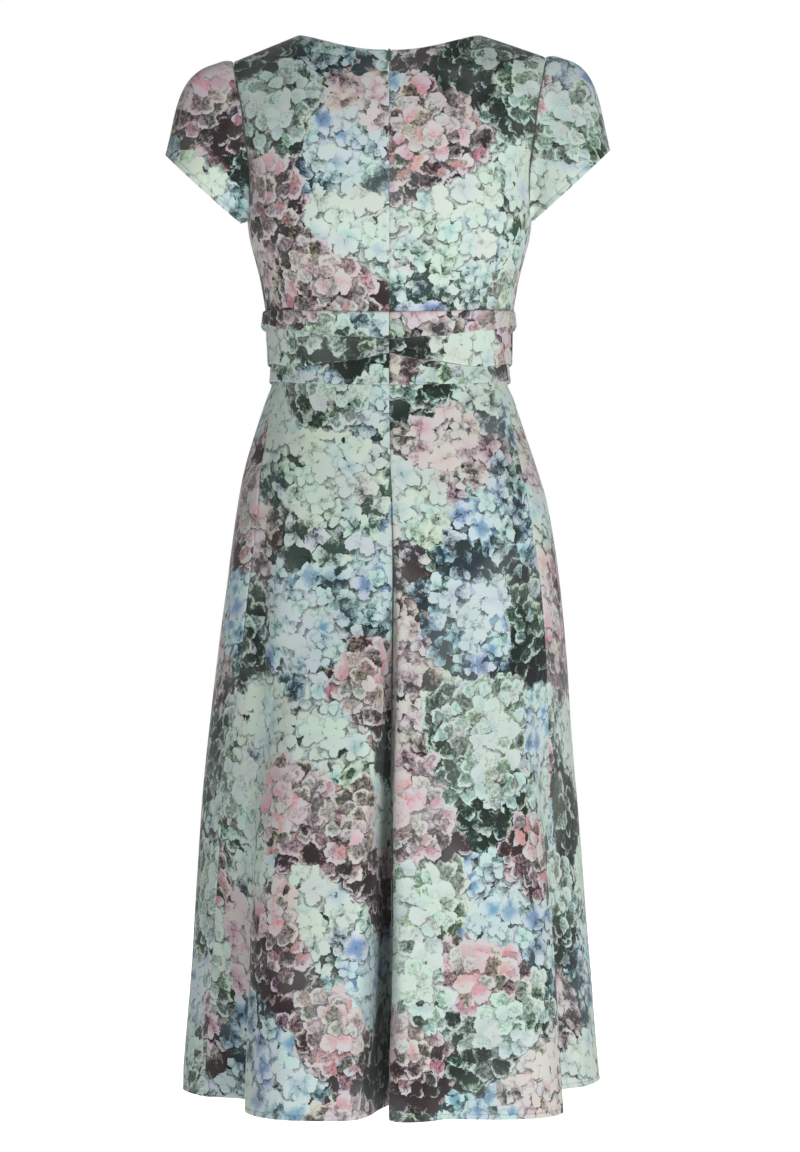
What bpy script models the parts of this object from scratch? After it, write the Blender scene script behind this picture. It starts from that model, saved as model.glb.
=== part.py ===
"""Cocktail dress: fitted bodice, cap sleeves, three-fold waistband, flared skirt, back zip.

The dress keeps the hollow form it has when worn.  Sizes are in millimetres, and the meshes are
in metres.  The origin lies midway between the shoulder neck points.  +X is the wearer's left,
+Y the back and +Z up, and a "drop" is a distance below the origin.  Angles go round from the
centre back (0 degrees) by the wearer's left side (90) to the centre front (180).
"""

import math
from collections import namedtuple

import bmesh
import bpy
import numpy as np
from mathutils import Matrix, Vector

MM = 0.001

# Cloth and seams
CLOTH = 1.5                # wall of one layer with its turnings
SEAM = 0.3                 # gap between pieces
TRIM = 0.3                 # what each panel gives up at a seam it shares
SHOULDER_TRIM = 0.5        # the same at the shoulder seam, where the cloth folds over
HEM_DROP = 1178.0

# Neck and shoulder
NECK_HALF = 102.5          # neck point to centre
SHOULDER_HALF = 174.0      # shoulder tip to centre
SHOULDER_FALL = 29.0       # drop of the shoulder tip
SHOULDER_ROUND = 130.0     # depth over which the shoulder rounds away
BACK_NECK = 26.0           # drop of the back neckline at the centre
FRONT_NECK = 95.0
UNDERARM = 210.0
BAND_TOP = 308.0           # at the sides and in front
BACK_DIP = 7.7             # how much lower the waistband's top lies at the centre back
RIGHT_RISE = 7.0           # how much higher the wearer's right shoulder sits
SLOPE = SHOULDER_FALL / (SHOULDER_HALF - NECK_HALF)

# Bust shaping by the front darts
BUST_SIDE, BUST_DROP, BUST_LIFT, BUST_SPREAD = 82.0, 205.0, 12.0, 44.0

# Rounded corners where the zip opens at the neck
CORNER_WIDTH, CORNER_DEPTH, CORNER_SHARE = 3.5, 9.0, 0.06

Fold = namedtuple("Fold", "name share x y start")


def table(columns, *rows):
    """Return a dictionary with one array for each named column."""
    return {name: np.array(values, float) for name, values in zip(columns.split(), zip(*rows))}


# The dress form: half width, sway to the left, depth behind and in front of the sides,
# squareness of the section, and the angle of the side seam.
BODY = table(
    "drop half_width sway side_y back_y front_y square seam",
    (0, 210.0, 0, 0, 78, -70, 2.3, 81),
    (29, 200.0, 0, 0, 85, -80, 2.3, 81),
    (60, 190.0, 0, 0, 93, -90, 2.3, 81),
    (100, 177.0, 0, 0, 103, -106, 2.3, 81),
    (143, 166.0, 0, 0, 109, -122, 2.3, 81),
    (186, 160.2, 0, 0, 109, -131, 2.3, 81),
    (210, 159.0, 0, 0, 107, -134, 2.3, 81),
    (226, 157.0, 0, 0, 104, -134, 2.3, 81),
    (253, 150.0, 0, -2, 100, -131, 2.3, 81),
    (280, 143.4, 0, -4, 97, -126, 2.3, 81),
    (308, 139.0, 0, -6, 94, -120, 2.3, 80.5),
    (334, 136.6, 0, -7, 92, -117, 2.25, 79),
    (361, 133.6, 0, -8, 91.5, -116, 2.2, 78),
    (387, 131.8, 0, -8, 93.5, -117, 2.2, 77),
    (408, 138.9, 0, -8, 98, -120, 2.2, 75),
    (447, 151.8, -0.5, -6, 109, -128, 2.15, 71),
    (486, 164.0, -1.5, -4, 121, -133, 2.15, 68),
    (525, 173.6, -3.5, -2, 132, -137, 2.1, 66),
    (604, 185.0, -4.5, 0, 146, -142, 2.1, 65),
    (682, 191.5, -4, 0, 156, -149, 2.1, 65),
    (760, 194.5, -2.5, 0, 165, -155, 2.1, 65),
    (878, 196.5, 0, 0, 177, -164, 2.1, 65),
    (1035, 196.0, 0, 0, 190, -173, 2.1, 65),
    (HEM_DROP, 196.0, 0, 0, 200, -182, 2.1, 65),
)

# Angle at which each bodice panel ends at the armhole
ARMHOLE = table(
    "drop back front",
    (0, 74.6, 105.0),
    (29, 74.6, 104.6),
    (59, 73.8, 109.0),
    (87, 73.0, 113.0),
    (122, 74.0, 117.0),
    (150, 74.4, 117.0),
    (175, 76.6, 111.0),
    (195, 79.4, 97.0),
    (204, 80.4, 88.0),
    (210, 81.0, 81.0),
    (308, 81.0, 81.0),
)

BAND_FOOT = 388.0          # lower edge of the waistband at the sides

# Drops of the lower edges of the waistband's three folds
FOLD_EDGES = table(
    "angle first second third",
    (0, 344.8, 361.0, 396.0),
    (26, 342.0, 369.0, 395.0),
    (55, 334.0, 374.0, 392.0),
    (80, 325.0, 368.0, 388.0),
    (120, 334.0, 372.0, 391.0),
    (180, 342.0, 367.0, 396.0),
)
# Outer face of the band over the dress form: where down each fold, and how far out
BAND_ROWS = table(
    "fold down out",
    (0, 0.0, 1.6),
    (0, 0.18, 4.6),
    (0, 0.6, 5.0),
    (0, 1.0, 5.6),
    (1, 0.05, 1.8),
    (1, 0.5, 2.6),
    (1, 1.0, 3.6),
    (2, 0.04, 1.6),
    (2, 0.45, 2.2),
    (2, 1.0, 3.0),
)

# The skirt's folds.  Each leaves the smooth form at a share of its panel and at its start
# drop, and reaches its own place (x, y) at the hem.
BACK_LEFT_FOLDS = (
    Fold("groove floor", 0.00, -4, 118, 515),
    Fold("groove flank", 0.02, 5, 142, 520),
    Fold("groove flank", 0.045, 14, 177, 530),
    Fold("groove flank", 0.07, 23, 209, 545),
    Fold("groove edge", 0.105, 36, 233, 560),
    Fold("middle flute", 0.22, 60, 239, 600),
    Fold("middle flute", 0.39, 88, 238, 620),
    Fold("middle flute", 0.54, 118, 229, 640),
    Fold("middle flute", 0.65, 141, 207, 690),
    Fold("flute edge", 0.71, 154, 177, 735),
    Fold("flute return", 0.735, 154, 142, 750),
    Fold("side valley", 0.76, 151, 108, 770),
    Fold("side valley", 0.80, 160, 84, 770),
    Fold("side flute", 0.88, 182, 74, 740),
)
FRONT_FOLDS = (
    Fold("left seam", 0.00, 205, 60, 700),
    Fold("side flute", 0.05, 222, 36, 650),
    Fold("side flute", 0.10, 231, 8, 604),
    Fold("side flute", 0.14, 230, -22, 604),
    Fold("side flute", 0.18, 215, -52, 650),
    Fold("front valley", 0.215, 184, -74, 720),
    Fold("front valley", 0.235, 169, -102, 740),
    Fold("front flute", 0.255, 172, -140, 740),
    Fold("front flute", 0.28, 160, -178, 700),
    Fold("front flute", 0.32, 132, -206, 680),
    Fold("front flute", 0.37, 96, -216, 660),
    Fold("front flute", 0.415, 62, -202, 680),
    Fold("middle valley", 0.445, 40, -170, 700),
    Fold("middle valley", 0.465, 20, -170, 700),
    Fold("front flute", 0.49, -2, -202, 690),
    Fold("front flute", 0.53, -36, -224, 670),
    Fold("front flute", 0.58, -74, -230, 660),
    Fold("front flute", 0.63, -110, -216, 680),
    Fold("front flute", 0.675, -134, -184, 700),
    Fold("front valley", 0.70, -143, -146, 740),
    Fold("front valley", 0.72, -162, -128, 740),
    Fold("side flute", 0.75, -192, -146, 700),
    Fold("side flute", 0.79, -223, -132, 660),
    Fold("side flute", 0.84, -240, -92, 620),
    Fold("side flute", 0.875, -236, -54, 620),
    Fold("side flute", 0.91, -221, -13, 680),
    Fold("side flute", 0.94, -197, 10, 740),
    Fold("side valley", 0.97, -175, 32, 760),
)
BACK_RIGHT_FOLDS = (
    Fold("right seam", 1.00, -165, 62, 770),
    Fold("side valley", 0.94, -166, 98, 770),
    Fold("flute return", 0.90, -178, 140, 760),
    Fold("flute edge", 0.87, -186, 180, 735),
    Fold("middle flute", 0.81, -172, 209, 690),
    Fold("middle flute", 0.70, -148, 224, 660),
    Fold("middle flute", 0.56, -118, 229, 640),
    Fold("middle flute", 0.42, -86, 227, 620),
    Fold("middle flute", 0.31, -60, 227, 600),
    Fold("small ridge", 0.22, -44, 239, 590),
    Fold("small ridge", 0.14, -27, 247, 580),
    Fold("small ridge", 0.08, -9, 246, 570),
    Fold("groove edge", 0.05, 0, 230, 560),
    Fold("groove flank", 0.03, -5, 200, 545),
    Fold("groove flank", 0.015, -10, 160, 530),
)
SKIRT_PANELS = (("left", BACK_LEFT_FOLDS), ("front", FRONT_FOLDS), ("right", BACK_RIGHT_FOLDS))
ZIP_END = 517.0
SKIRT_DROPS = (0, 414, 440, 475, ZIP_END, 555, 600, 650, 710, 780, 860, 945, 1030, 1110, HEM_DROP)
STEPS_PER_FOLD = 2
FOLD_EASE = 0.15           # how softly a fold begins

# Sleeves
SLEEVE_ROWS = 7
CUFF_CENTRE = np.array((208.5, -5.0, -171.5))
CUFF_HIGH = np.array((251.0, -5.0, -133.0))      # the cuff's outermost point
CUFF_DEPTH = 62.0          # half the cuff from front to back
CUFF_TURN = np.array((0.26, 0.0, -0.966))        # how the cloth falls at the outermost point
ARM_DIRECTION = np.array((0.66, 0.0, -0.75))
RIGHT_CUFF_SHORT = 6.0     # how much the right cuff is drawn up
CUFF_SLANT = 3.6           # how far the cuff is drawn up in front, and let down behind
SLEEVE_STAND = 0.7         # start of the sleeve outside the armhole

# Zip
TAPE_HALF, TAPE_THICK, TAPE_INSET = 12.0, 0.8, 2.2
TAPE_COLUMNS = 5
TAPE_FIRST_ROW = 5         # the back's first row that lies below the tape's top
TAPE_BAND_DROPS = (334.0, 361.0, 387.0)
SLIDER = np.array((5.2, 2.6, 8.2))               # width, thickness, length
SLIDER_GAP, SLIDER_DROP = 0.35, 0.2              # behind the cloth and below the neck edge
BAIL_OUT, BAIL_HOLE, BAIL_WIDE = 1.9, 1.1, 1.2
PULL_DOWN, PULL_OUT = 2.6, 1.9                   # the pull's axis below the neck and off the cloth
PULL_THICK = 1.0
PULL_SLOT = (0.5, 2.3)     # slot for the bail, from the axis
# Half width of the leaf-shaped pull, by distance below its axis
PULL_LEAF = table(
    "down half",
    (-0.5, 1.9),
    (2.8, 1.9),
    (4.4, 1.6),
    (7.0, 2.1),
    (10.0, 2.4),
    (12.5, 2.2),
    (14.4, 1.3),
    (15.3, 0.4),
)
ARMHOLE_ROWS = (0, 0.06, 0.12, 0.19, 0.28, 0.39, 0.51, 0.63, 0.75, 0.86, 0.94, 1)
ROW_EASE = 1.5             # how closely the armhole's rows crowd to the shoulder
SIDE_ROWS = (0.25, 0.5, 0.75, 1)
NECK_COLUMNS = (0, 0.05, 0.18, 0.34, 0.5, 0.66, 0.81, 0.93)
SHOULDER_COLUMNS = (0, 0.27, 0.54, 0.8, 1)

# Colour, roughness and metallic value of each material
FINISHES = {
    "back cloth": ((0.42, 0.46, 0.42), 0.85, 0.0),
    "front cloth": ((0.36, 0.41, 0.38), 0.85, 0.0),
    "sleeve cloth": ((0.46, 0.52, 0.47), 0.85, 0.0),
    "band cloth": ((0.33, 0.35, 0.34), 0.85, 0.0),
    "skirt cloth": ((0.45, 0.47, 0.44), 0.85, 0.0),
    "zip tape": ((0.20, 0.26, 0.24), 0.8, 0.0),
    "zip metal": ((0.09, 0.22, 0.17), 0.45, 0.6),
}


# ---------------------------------------------------------------- sections

def slopes_through(knots, values):
    """Slopes at a table's rows for a smooth curve that never passes beyond its rows."""
    rises = np.diff(values) / np.diff(knots)
    rises = np.concatenate((rises[:1], rises, rises[-1:]))
    before, after = rises[:-1], rises[1:]
    level = before * after <= 0
    return np.where(level, 0, 2 * before * after / np.where(level, 1, before + after))


def at(rows, column, where, key="drop"):
    """Interpolate a table's column smoothly."""
    knots, values = rows[key], rows[column]
    where = float(min(max(where, knots[0]), knots[-1]))
    i = int(min(max(np.searchsorted(knots, where) - 1, 0), len(knots) - 2))
    slopes = slopes_through(knots, values)
    span = knots[i + 1] - knots[i]
    t = (where - knots[i]) / span
    return ((2 * t**3 - 3 * t**2 + 1) * values[i] + (t**3 - 2 * t**2 + t) * span * slopes[i]
            + (3 * t**2 - 2 * t**3) * values[i + 1] + (t**3 - t**2) * span * slopes[i + 1])


def form_point(angle, drop):
    """Return the point of the smooth dress form at an angle in degrees and a drop."""
    sine, cosine = math.sin(math.radians(angle)), math.cos(math.radians(angle))
    side_y = at(BODY, "side_y", drop)
    depth = abs(at(BODY, "back_y" if cosine >= 0 else "front_y", drop) - side_y)
    power = at(BODY, "square", drop)
    radius = ((abs(sine) / at(BODY, "half_width", drop))**power
              + (abs(cosine) / depth)**power)**(-1 / power)
    return np.array((at(BODY, "sway", drop) + radius * sine, side_y + radius * cosine, -drop))


def form_normal(angle, drop):
    """Return the level outward normal of the dress form."""
    along = form_point(angle + 0.5, drop) - form_point(angle - 0.5, drop)
    normal = np.array((-along[1], along[0], 0.0))
    return normal / np.linalg.norm(normal)


def bodice_point(angle, drop):
    """Return a point of the bodice: the form, rounded over the shoulder, with the bust."""
    x, y, z = form_point(angle, drop)
    below = drop - SLOPE * (abs(x) - NECK_HALF)
    rise = 1 - min(max(below / SHOULDER_ROUND, 0), 1)
    y *= math.sqrt(max(1 - rise**2, 0))
    if math.cos(math.radians(angle)) < 0:
        across, down = (abs(x) - BUST_SIDE) / BUST_SPREAD, (drop - BUST_DROP) / BUST_SPREAD
        y -= BUST_LIFT * math.exp(-across**2 - down**2)
    return np.array((x, y, z))


def bodice_angle(share, drop, side):
    """Angle of a column that runs from the centre (0) to the armhole and side seam (1)."""
    edge = at(ARMHOLE, side, drop)
    return share * edge if side == "back" else 180 - share * (180 - edge)


def neck_share(side):
    """Return the share of a panel, from the centre, at which the neck point lies."""
    low, high = 0.0, 1.0
    for _ in range(30):
        share = (low + high) / 2
        if abs(form_point(bodice_angle(share, 0, side), 0)[0]) < NECK_HALF:
            low = share
        else:
            high = share
    return high


def bodice_shares(side):
    """Return the shares of a panel's columns, one of them at the neck point."""
    neck = neck_share(side)
    return [neck * part for part in NECK_COLUMNS] + [
        neck + (1 - neck) * part for part in SHOULDER_COLUMNS]


def top_drop(share, side):
    """Drop at which a column starts, on the neckline or on the shoulder seam."""
    if share < neck_share(side):
        ratio = share / neck_share(side)
        if side == "back":
            return BACK_NECK * (1 - ratio**2.3)
        return FRONT_NECK * (1 - ratio**2.2)**0.8
    drop = 0.0
    for _ in range(12):
        x = abs(form_point(bodice_angle(share, drop, side), drop)[0])
        drop = max(SLOPE * (x - NECK_HALF), 0)
    return drop


def band_top(angle):
    """Drop of the waistband's top edge, which dips toward the centre back."""
    return BAND_TOP + BACK_DIP * max(math.cos(math.radians(angle)), 0)**1.3


def bodice_column(share, side):
    """Return one column of a bodice panel, from its top edge down to the waistband."""
    top, foot = top_drop(share, side), band_top(bodice_angle(share, BAND_TOP, side)) - SEAM
    drops = [top + (UNDERARM - top) * row**ROW_EASE for row in ARMHOLE_ROWS]
    drops += [UNDERARM + (foot - UNDERARM) * row for row in SIDE_ROWS]
    column = []
    for drop in drops:
        point = bodice_point(bodice_angle(share, drop, side), drop)
        if side == "back":
            corner = max(1 - (drop - BACK_NECK) / CORNER_DEPTH, 0) if share < CORNER_SHARE else 0
            point[0] += CORNER_WIDTH * corner**1.3 * (1 - share / CORNER_SHARE)
        column.append(point)
    if share >= neck_share(side):
        column[0][1] += SHOULDER_TRIM if side == "back" else -SHOULDER_TRIM
    return column


def trim_sides(grid, amount=TRIM):
    """Draw a panel's first and last columns in along its rows, to leave the seam's gap."""
    for edge, inner in ((0, 1), (-1, -2)):
        along = grid[:, inner] - grid[:, edge]
        grid[:, edge] += along * (amount / np.linalg.norm(along, axis=1))[:, None]
    return grid


def mirrored(grid):
    """Return the grid for the wearer's right side, with its shoulder a little higher."""
    grid = grid[:, ::-1] * np.array((-1.0, 1.0, 1.0))
    outward = np.clip((-grid[..., 0] - NECK_HALF) / (SHOULDER_HALF - NECK_HALF), 0, 1)
    upward = np.clip(1 + grid[..., 2] / UNDERARM, 0, 1)
    grid[..., 2] += RIGHT_RISE * outward * upward**2
    return grid


def as_grid(columns):
    """Return a grid indexed by row, then column."""
    return np.array(columns).transpose(1, 0, 2)


# ---------------------------------------------------------------- building

def material(name):
    """Return the material of a finish."""
    if name in bpy.data.materials:
        return bpy.data.materials[name]
    colour, roughness, metallic = FINISHES[name]
    finish = bpy.data.materials.new(name)
    finish.use_nodes = True
    shader = finish.node_tree.nodes["Principled BSDF"]
    shader.inputs["Base Color"].default_value = (*colour, 1)
    shader.inputs["Roughness"].default_value = roughness
    shader.inputs["Metallic"].default_value = metallic
    finish.diffuse_color = (*colour, 1)
    return finish


def add_object(name, mesh, finish):
    """Put a mesh into the dress's collection with its own copy of a finish."""
    item = bpy.data.objects.new(name, mesh)
    own = material(finish).copy()
    own.name = name
    mesh.materials.append(own)
    mesh.shade_smooth()
    DRESS.objects.link(item)
    return item


def grid_mesh(name, grid, closed=False):
    """Make an open surface from a grid of points, closed round its columns if asked."""
    rows, columns = grid.shape[:2]
    shape = bmesh.new()
    points = [[shape.verts.new(Vector(point) * MM) for point in row] for row in grid]
    for r in range(rows - 1):
        for c in range(columns if closed else columns - 1):
            d = (c + 1) % columns
            shape.faces.new((points[r][c], points[r][d], points[r + 1][d], points[r + 1][c]))
    mesh = bpy.data.meshes.new(name)
    shape.to_mesh(mesh)
    shape.free()
    return mesh


def add_cloth(name, grid, finish, thickness=CLOTH, closed=False):
    """Add a panel of cloth: a surface whose thickness lies inside it."""
    item = add_object(name, grid_mesh(name, grid, closed), finish)
    wall = item.modifiers.new("Cloth thickness", "SOLIDIFY")
    wall.thickness = thickness * MM
    wall.offset = -1
    wall.use_even_offset = True
    wall.use_quality_normals = True
    return item


def add_wall(name, outer, inner, finish):
    """Add a closed wall between an outer and an inner grid of the same size."""
    rows, columns = outer.shape[:2]
    shape = bmesh.new()
    out = [[shape.verts.new(Vector(point) * MM) for point in row] for row in outer]
    back = [[shape.verts.new(Vector(point) * MM) for point in row] for row in inner]
    for r in range(rows - 1):
        for c in range(columns - 1):
            shape.faces.new((out[r][c], out[r][c + 1], out[r + 1][c + 1], out[r + 1][c]))
            shape.faces.new((back[r][c], back[r + 1][c], back[r + 1][c + 1], back[r][c + 1]))
    for c in range(columns - 1):
        shape.faces.new((out[0][c + 1], out[0][c], back[0][c], back[0][c + 1]))
        shape.faces.new((out[-1][c], out[-1][c + 1], back[-1][c + 1], back[-1][c]))
    for r in range(rows - 1):
        shape.faces.new((out[r][0], out[r + 1][0], back[r + 1][0], back[r][0]))
        shape.faces.new((out[r + 1][-1], out[r][-1], back[r][-1], back[r + 1][-1]))
    mesh = bpy.data.meshes.new(name)
    shape.to_mesh(mesh)
    shape.free()
    return add_object(name, mesh, finish)


# ---------------------------------------------------------------- bodice

def build_bodice():
    """Add the two backs and the front."""
    left = trim_sides(as_grid([bodice_column(share, "back") for share in bodice_shares("back")]))
    add_cloth("bodice_back_left", left, "back cloth")
    add_cloth("bodice_back_right", mirrored(left), "back cloth")
    half = as_grid([bodice_column(share, "front") for share in bodice_shares("front")[::-1]])
    front = trim_sides(np.concatenate((half, mirrored(half)[:, 1:]), axis=1))
    add_cloth("bodice_front", front, "front cloth")


# ---------------------------------------------------------------- sleeves

def armhole_edge():
    """Return the armhole's points, from the shoulder tip by the front to the underarm and back."""
    last = len(ARMHOLE_ROWS) - 1
    down, up = bodice_column(1, "front")[:last], bodice_column(1, "back")[last:0:-1]
    return down + up


def sleeve_column(start, turn, shortening):
    """Return one column of a left sleeve, from the armhole to the cuff."""
    theta = 2 * math.pi * turn
    high = CUFF_HIGH - CUFF_CENTRE
    end = CUFF_CENTRE + high * math.cos(theta) + np.array((0, -CUFF_DEPTH * math.sin(theta), 0))
    end -= ARM_DIRECTION * (shortening + CUFF_SLANT * math.sin(theta))
    chord = end - start
    length = np.linalg.norm(chord)
    chord /= length
    top, under = max(math.cos(theta), 0), max(-math.cos(theta), 0)
    leave = (1 - top) * chord + top * np.array((1.0, 0, 0))
    leave /= np.linalg.norm(leave)
    arrive = ARM_DIRECTION * (1 - top - under) + CUFF_TURN * top + chord * under
    arrive /= np.linalg.norm(arrive)
    start = start + leave * SLEEVE_STAND
    column = []
    for t in np.linspace(0, 1, SLEEVE_ROWS):
        one, two = start + leave * 0.5 * length, end - arrive * 0.42 * length
        column.append((1 - t)**3 * start + 3 * t * (1 - t)**2 * one
                      + 3 * t**2 * (1 - t) * two + t**3 * end)
    return column


def build_sleeves():
    """Add the two cap sleeves, each a ring from the armhole to the cuff."""
    edge = armhole_edge()
    left, right = (
        as_grid([sleeve_column(point, k / len(edge), short) for k, point in enumerate(edge)])
        for short in (0, RIGHT_CUFF_SHORT))
    add_cloth("sleeve_left", left, "sleeve cloth", closed=True)
    add_cloth("sleeve_right", mirrored(right), "sleeve cloth", closed=True)


# ---------------------------------------------------------------- waistband

def fold_edge(index, angle):
    """Drop of the band's top (0) or of a fold's lower edge (1 to 3)."""
    if index == 0:
        return band_top(angle)
    folded = 180 - abs(180 - angle % 360)
    return at(FOLD_EDGES, ("first", "second", "third")[index - 1], folded, "angle")


def band_column(angle):
    """Outer and inner points down the band at one angle."""
    outer, inner = [], []
    for fold, down, out in zip(BAND_ROWS["fold"], BAND_ROWS["down"], BAND_ROWS["out"]):
        top, edge = fold_edge(int(fold), angle), fold_edge(int(fold) + 1, angle)
        drop = top + (edge - top) * down
        point, normal = form_point(angle, drop), form_normal(angle, drop)
        outer.append(point + normal * out)
        inner.append(point - normal * CLOTH)
    return outer, inner


def add_band(name, start, end, count):
    """Add one piece of the band between two angles."""
    columns = [band_column(angle) for angle in np.linspace(start, end, count)]
    outer, inner = (as_grid([column[k] for column in columns]) for k in (0, 1))
    for edge, beside in ((0, 1), (-1, -2)):
        along = inner[:, beside] - inner[:, edge]
        shift = along * ((SEAM / 2) / np.linalg.norm(along, axis=1))[:, None]
        outer[:, edge] += shift
        inner[:, edge] += shift
    add_wall(name, outer, inner, "band cloth")


def build_band():
    """Add the waistband's two backs and its front."""
    seam = float(at(BODY, "seam", BAND_TOP))
    add_band("waistband_back_left", 0, seam, 12)
    add_band("waistband_front", seam, 360 - seam, 28)
    add_band("waistband_back_right", 360 - seam, 360, 12)


# ---------------------------------------------------------------- skirt

def fold_angle(panel, share, drop):
    """Angle on the form at which a fold leaves its panel."""
    seam = at(BODY, "seam", drop)
    if panel == "left":
        return share * seam
    if panel == "right":
        return 360 - share * seam
    return seam + share * (360 - 2 * seam)


def fold_point(panel, fold, drop):
    """Place of a fold's line at a drop, between the smooth form and the hem."""
    smooth = form_point(fold_angle(panel, fold.share, drop), drop)
    t = max((drop - fold.start) / (HEM_DROP - fold.start), 0)
    weight = t**2 / (t + FOLD_EASE) * (1 + FOLD_EASE)
    smooth[:2] += (np.array((fold.x, fold.y)) - smooth[:2]) * weight
    return smooth


def closed_curve(points, steps):
    """Return points on a smooth closed curve through the given points."""
    following, before = np.roll(points, -1, 0), np.roll(points, 1, 0)
    reach = np.sqrt(np.maximum(np.linalg.norm(following - points, axis=1), 1e-6))[:, None]
    past = np.roll(reach, 1, 0)
    slope = ((points - before) / past - (following - before) / (past + reach)
             + (following - points) / reach)
    after = np.roll(slope, -1, 0)
    curve = []
    for step in range(steps):
        t = step / steps
        curve.append((2 * t**3 - 3 * t**2 + 1) * points + (t**3 - 2 * t**2 + t) * reach * slope
                     + (3 * t**2 - 2 * t**3) * following + (t**3 - t**2) * reach * after)
    return np.stack(curve, axis=1).reshape(-1, 3)


def skirt_ring(drop):
    """One closed section of the skirt; drop 0 stands for the edge under the waistband."""
    points = []
    for panel, folds in SKIRT_PANELS:
        for fold in folds:
            level = drop
            if not drop:
                level = fold_edge(3, fold_angle(panel, fold.share, BAND_FOOT)) + SEAM
            points.append(fold_point(panel, fold, level))
    return closed_curve(np.array(points), STEPS_PER_FOLD)


def build_skirt():
    """Add the skirt's two backs and its front, cut from one set of sections."""
    rings = np.array([skirt_ring(drop) for drop in SKIRT_DROPS])
    rings = np.concatenate((rings, rings[:, :1]), axis=1)
    left_end = len(BACK_LEFT_FOLDS) * STEPS_PER_FOLD
    front_end = left_end + len(FRONT_FOLDS) * STEPS_PER_FOLD
    panels = {
        "skirt_back_left": rings[:, :left_end + 1],
        "skirt_front": rings[:, left_end:front_end + 1],
        "skirt_back_right": rings[:, front_end:],
    }
    for name, grid in panels.items():
        add_cloth(name, trim_sides(grid.copy()), "skirt cloth")


# ---------------------------------------------------------------- zip

def build_tape():
    """Add the zip's tape behind the centre-back opening, from the slider to the hip."""
    drops = [BACK_NECK + CORNER_DEPTH + 1]
    drops += [-point[2] for point in bodice_column(0, "back")[TAPE_FIRST_ROW:]]
    drops += [*TAPE_BAND_DROPS, *SKIRT_DROPS[1:SKIRT_DROPS.index(ZIP_END) + 1]]
    columns = []
    for across in np.linspace(-TAPE_HALF, TAPE_HALF, TAPE_COLUMNS):
        column = []
        for drop in drops:
            angle = math.degrees(math.atan2(across, at(BODY, "back_y", drop)))
            point = bodice_point(angle, drop) if drop < BAND_TOP else form_point(angle, drop)
            column.append(point - form_normal(angle, drop) * TAPE_INSET)
        columns.append(column)
    add_cloth("zip_tape", as_grid(columns), "zip tape", TAPE_THICK)


def box(name, low, high):
    """Add a box between two corners, in millimetres."""
    bpy.ops.mesh.primitive_cube_add(size=1)
    item = bpy.context.object
    item.name = name
    size = (np.array(high) - np.array(low)) * MM
    centre = (np.array(high) + np.array(low)) / 2 * MM
    item.data.transform(Matrix.Translation(centre) @ Matrix.Diagonal((*size, 1)))
    return item


def rod(name, radius, length, y, z):
    """Add a cylinder along X, in millimetres."""
    bpy.ops.mesh.primitive_cylinder_add(vertices=20, radius=radius * MM, depth=length * MM)
    item = bpy.context.object
    item.name = name
    turn = Matrix.Rotation(math.pi / 2, 4, "Y")
    item.data.transform(Matrix.Translation(Vector((0, y, z)) * MM) @ turn)
    return item


def move_to(item, collection):
    """Put an object into one collection alone."""
    for old in list(item.users_collection):
        old.objects.unlink(item)
    collection.objects.link(item)


def combine(item, operation, tool, frame):
    """Join a tool to an object, or cut the object with it."""
    tool.parent = frame
    tool.hide_render = True
    tool.display_type = "WIRE"
    move_to(tool, CUTTERS)
    change = item.modifiers.new(tool.name, "BOOLEAN")
    change.operation = operation
    change.solver = "EXACT"
    change.object = tool


def zip_frame():
    """Add an empty at the top of the zip: Y off the cloth and Z up along it."""
    top, below = (bodice_point(0, BACK_NECK + step) for step in (0, 14))
    lean = math.atan2(below[1] - top[1], top[2] - below[2])
    frame = bpy.data.objects.new("zip frame", None)
    DRESS.objects.link(frame)
    frame.location = Vector(top) * MM
    frame.rotation_euler = (lean, 0, 0)
    return frame


def build_slider(frame):
    """Add the slider: a body behind the cloth, and a bail that stands out between the corners."""
    wide, thick, long = SLIDER
    face = -(CLOTH + SLIDER_GAP)
    body = box("zip_slider", (-wide / 2, face - thick, -SLIDER_DROP - long),
               (wide / 2, face, -SLIDER_DROP))
    round_off = body.modifiers.new("Rounded", "BEVEL")
    round_off.width = 0.6 * MM
    round_off.segments = 2
    stem = box("bail stem", (-BAIL_WIDE / 2, face - 0.6, -PULL_DOWN - 1.2),
               (BAIL_WIDE / 2, PULL_OUT - BAIL_HOLE - 0.2, -PULL_DOWN + 1.2))
    combine(body, "UNION", stem, frame)
    combine(body, "UNION", rod("bail ring", BAIL_OUT, BAIL_WIDE, PULL_OUT, -PULL_DOWN), frame)
    combine(body, "DIFFERENCE", rod("bail hole", BAIL_HOLE, 4, PULL_OUT, -PULL_DOWN), frame)
    finish_metal(body, frame)


def finish_metal(item, frame):
    """Give a zip piece its metal and its place."""
    own = material("zip metal").copy()
    own.name = item.name
    item.data.materials.append(own)
    item.parent = frame
    move_to(item, DRESS)


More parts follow.
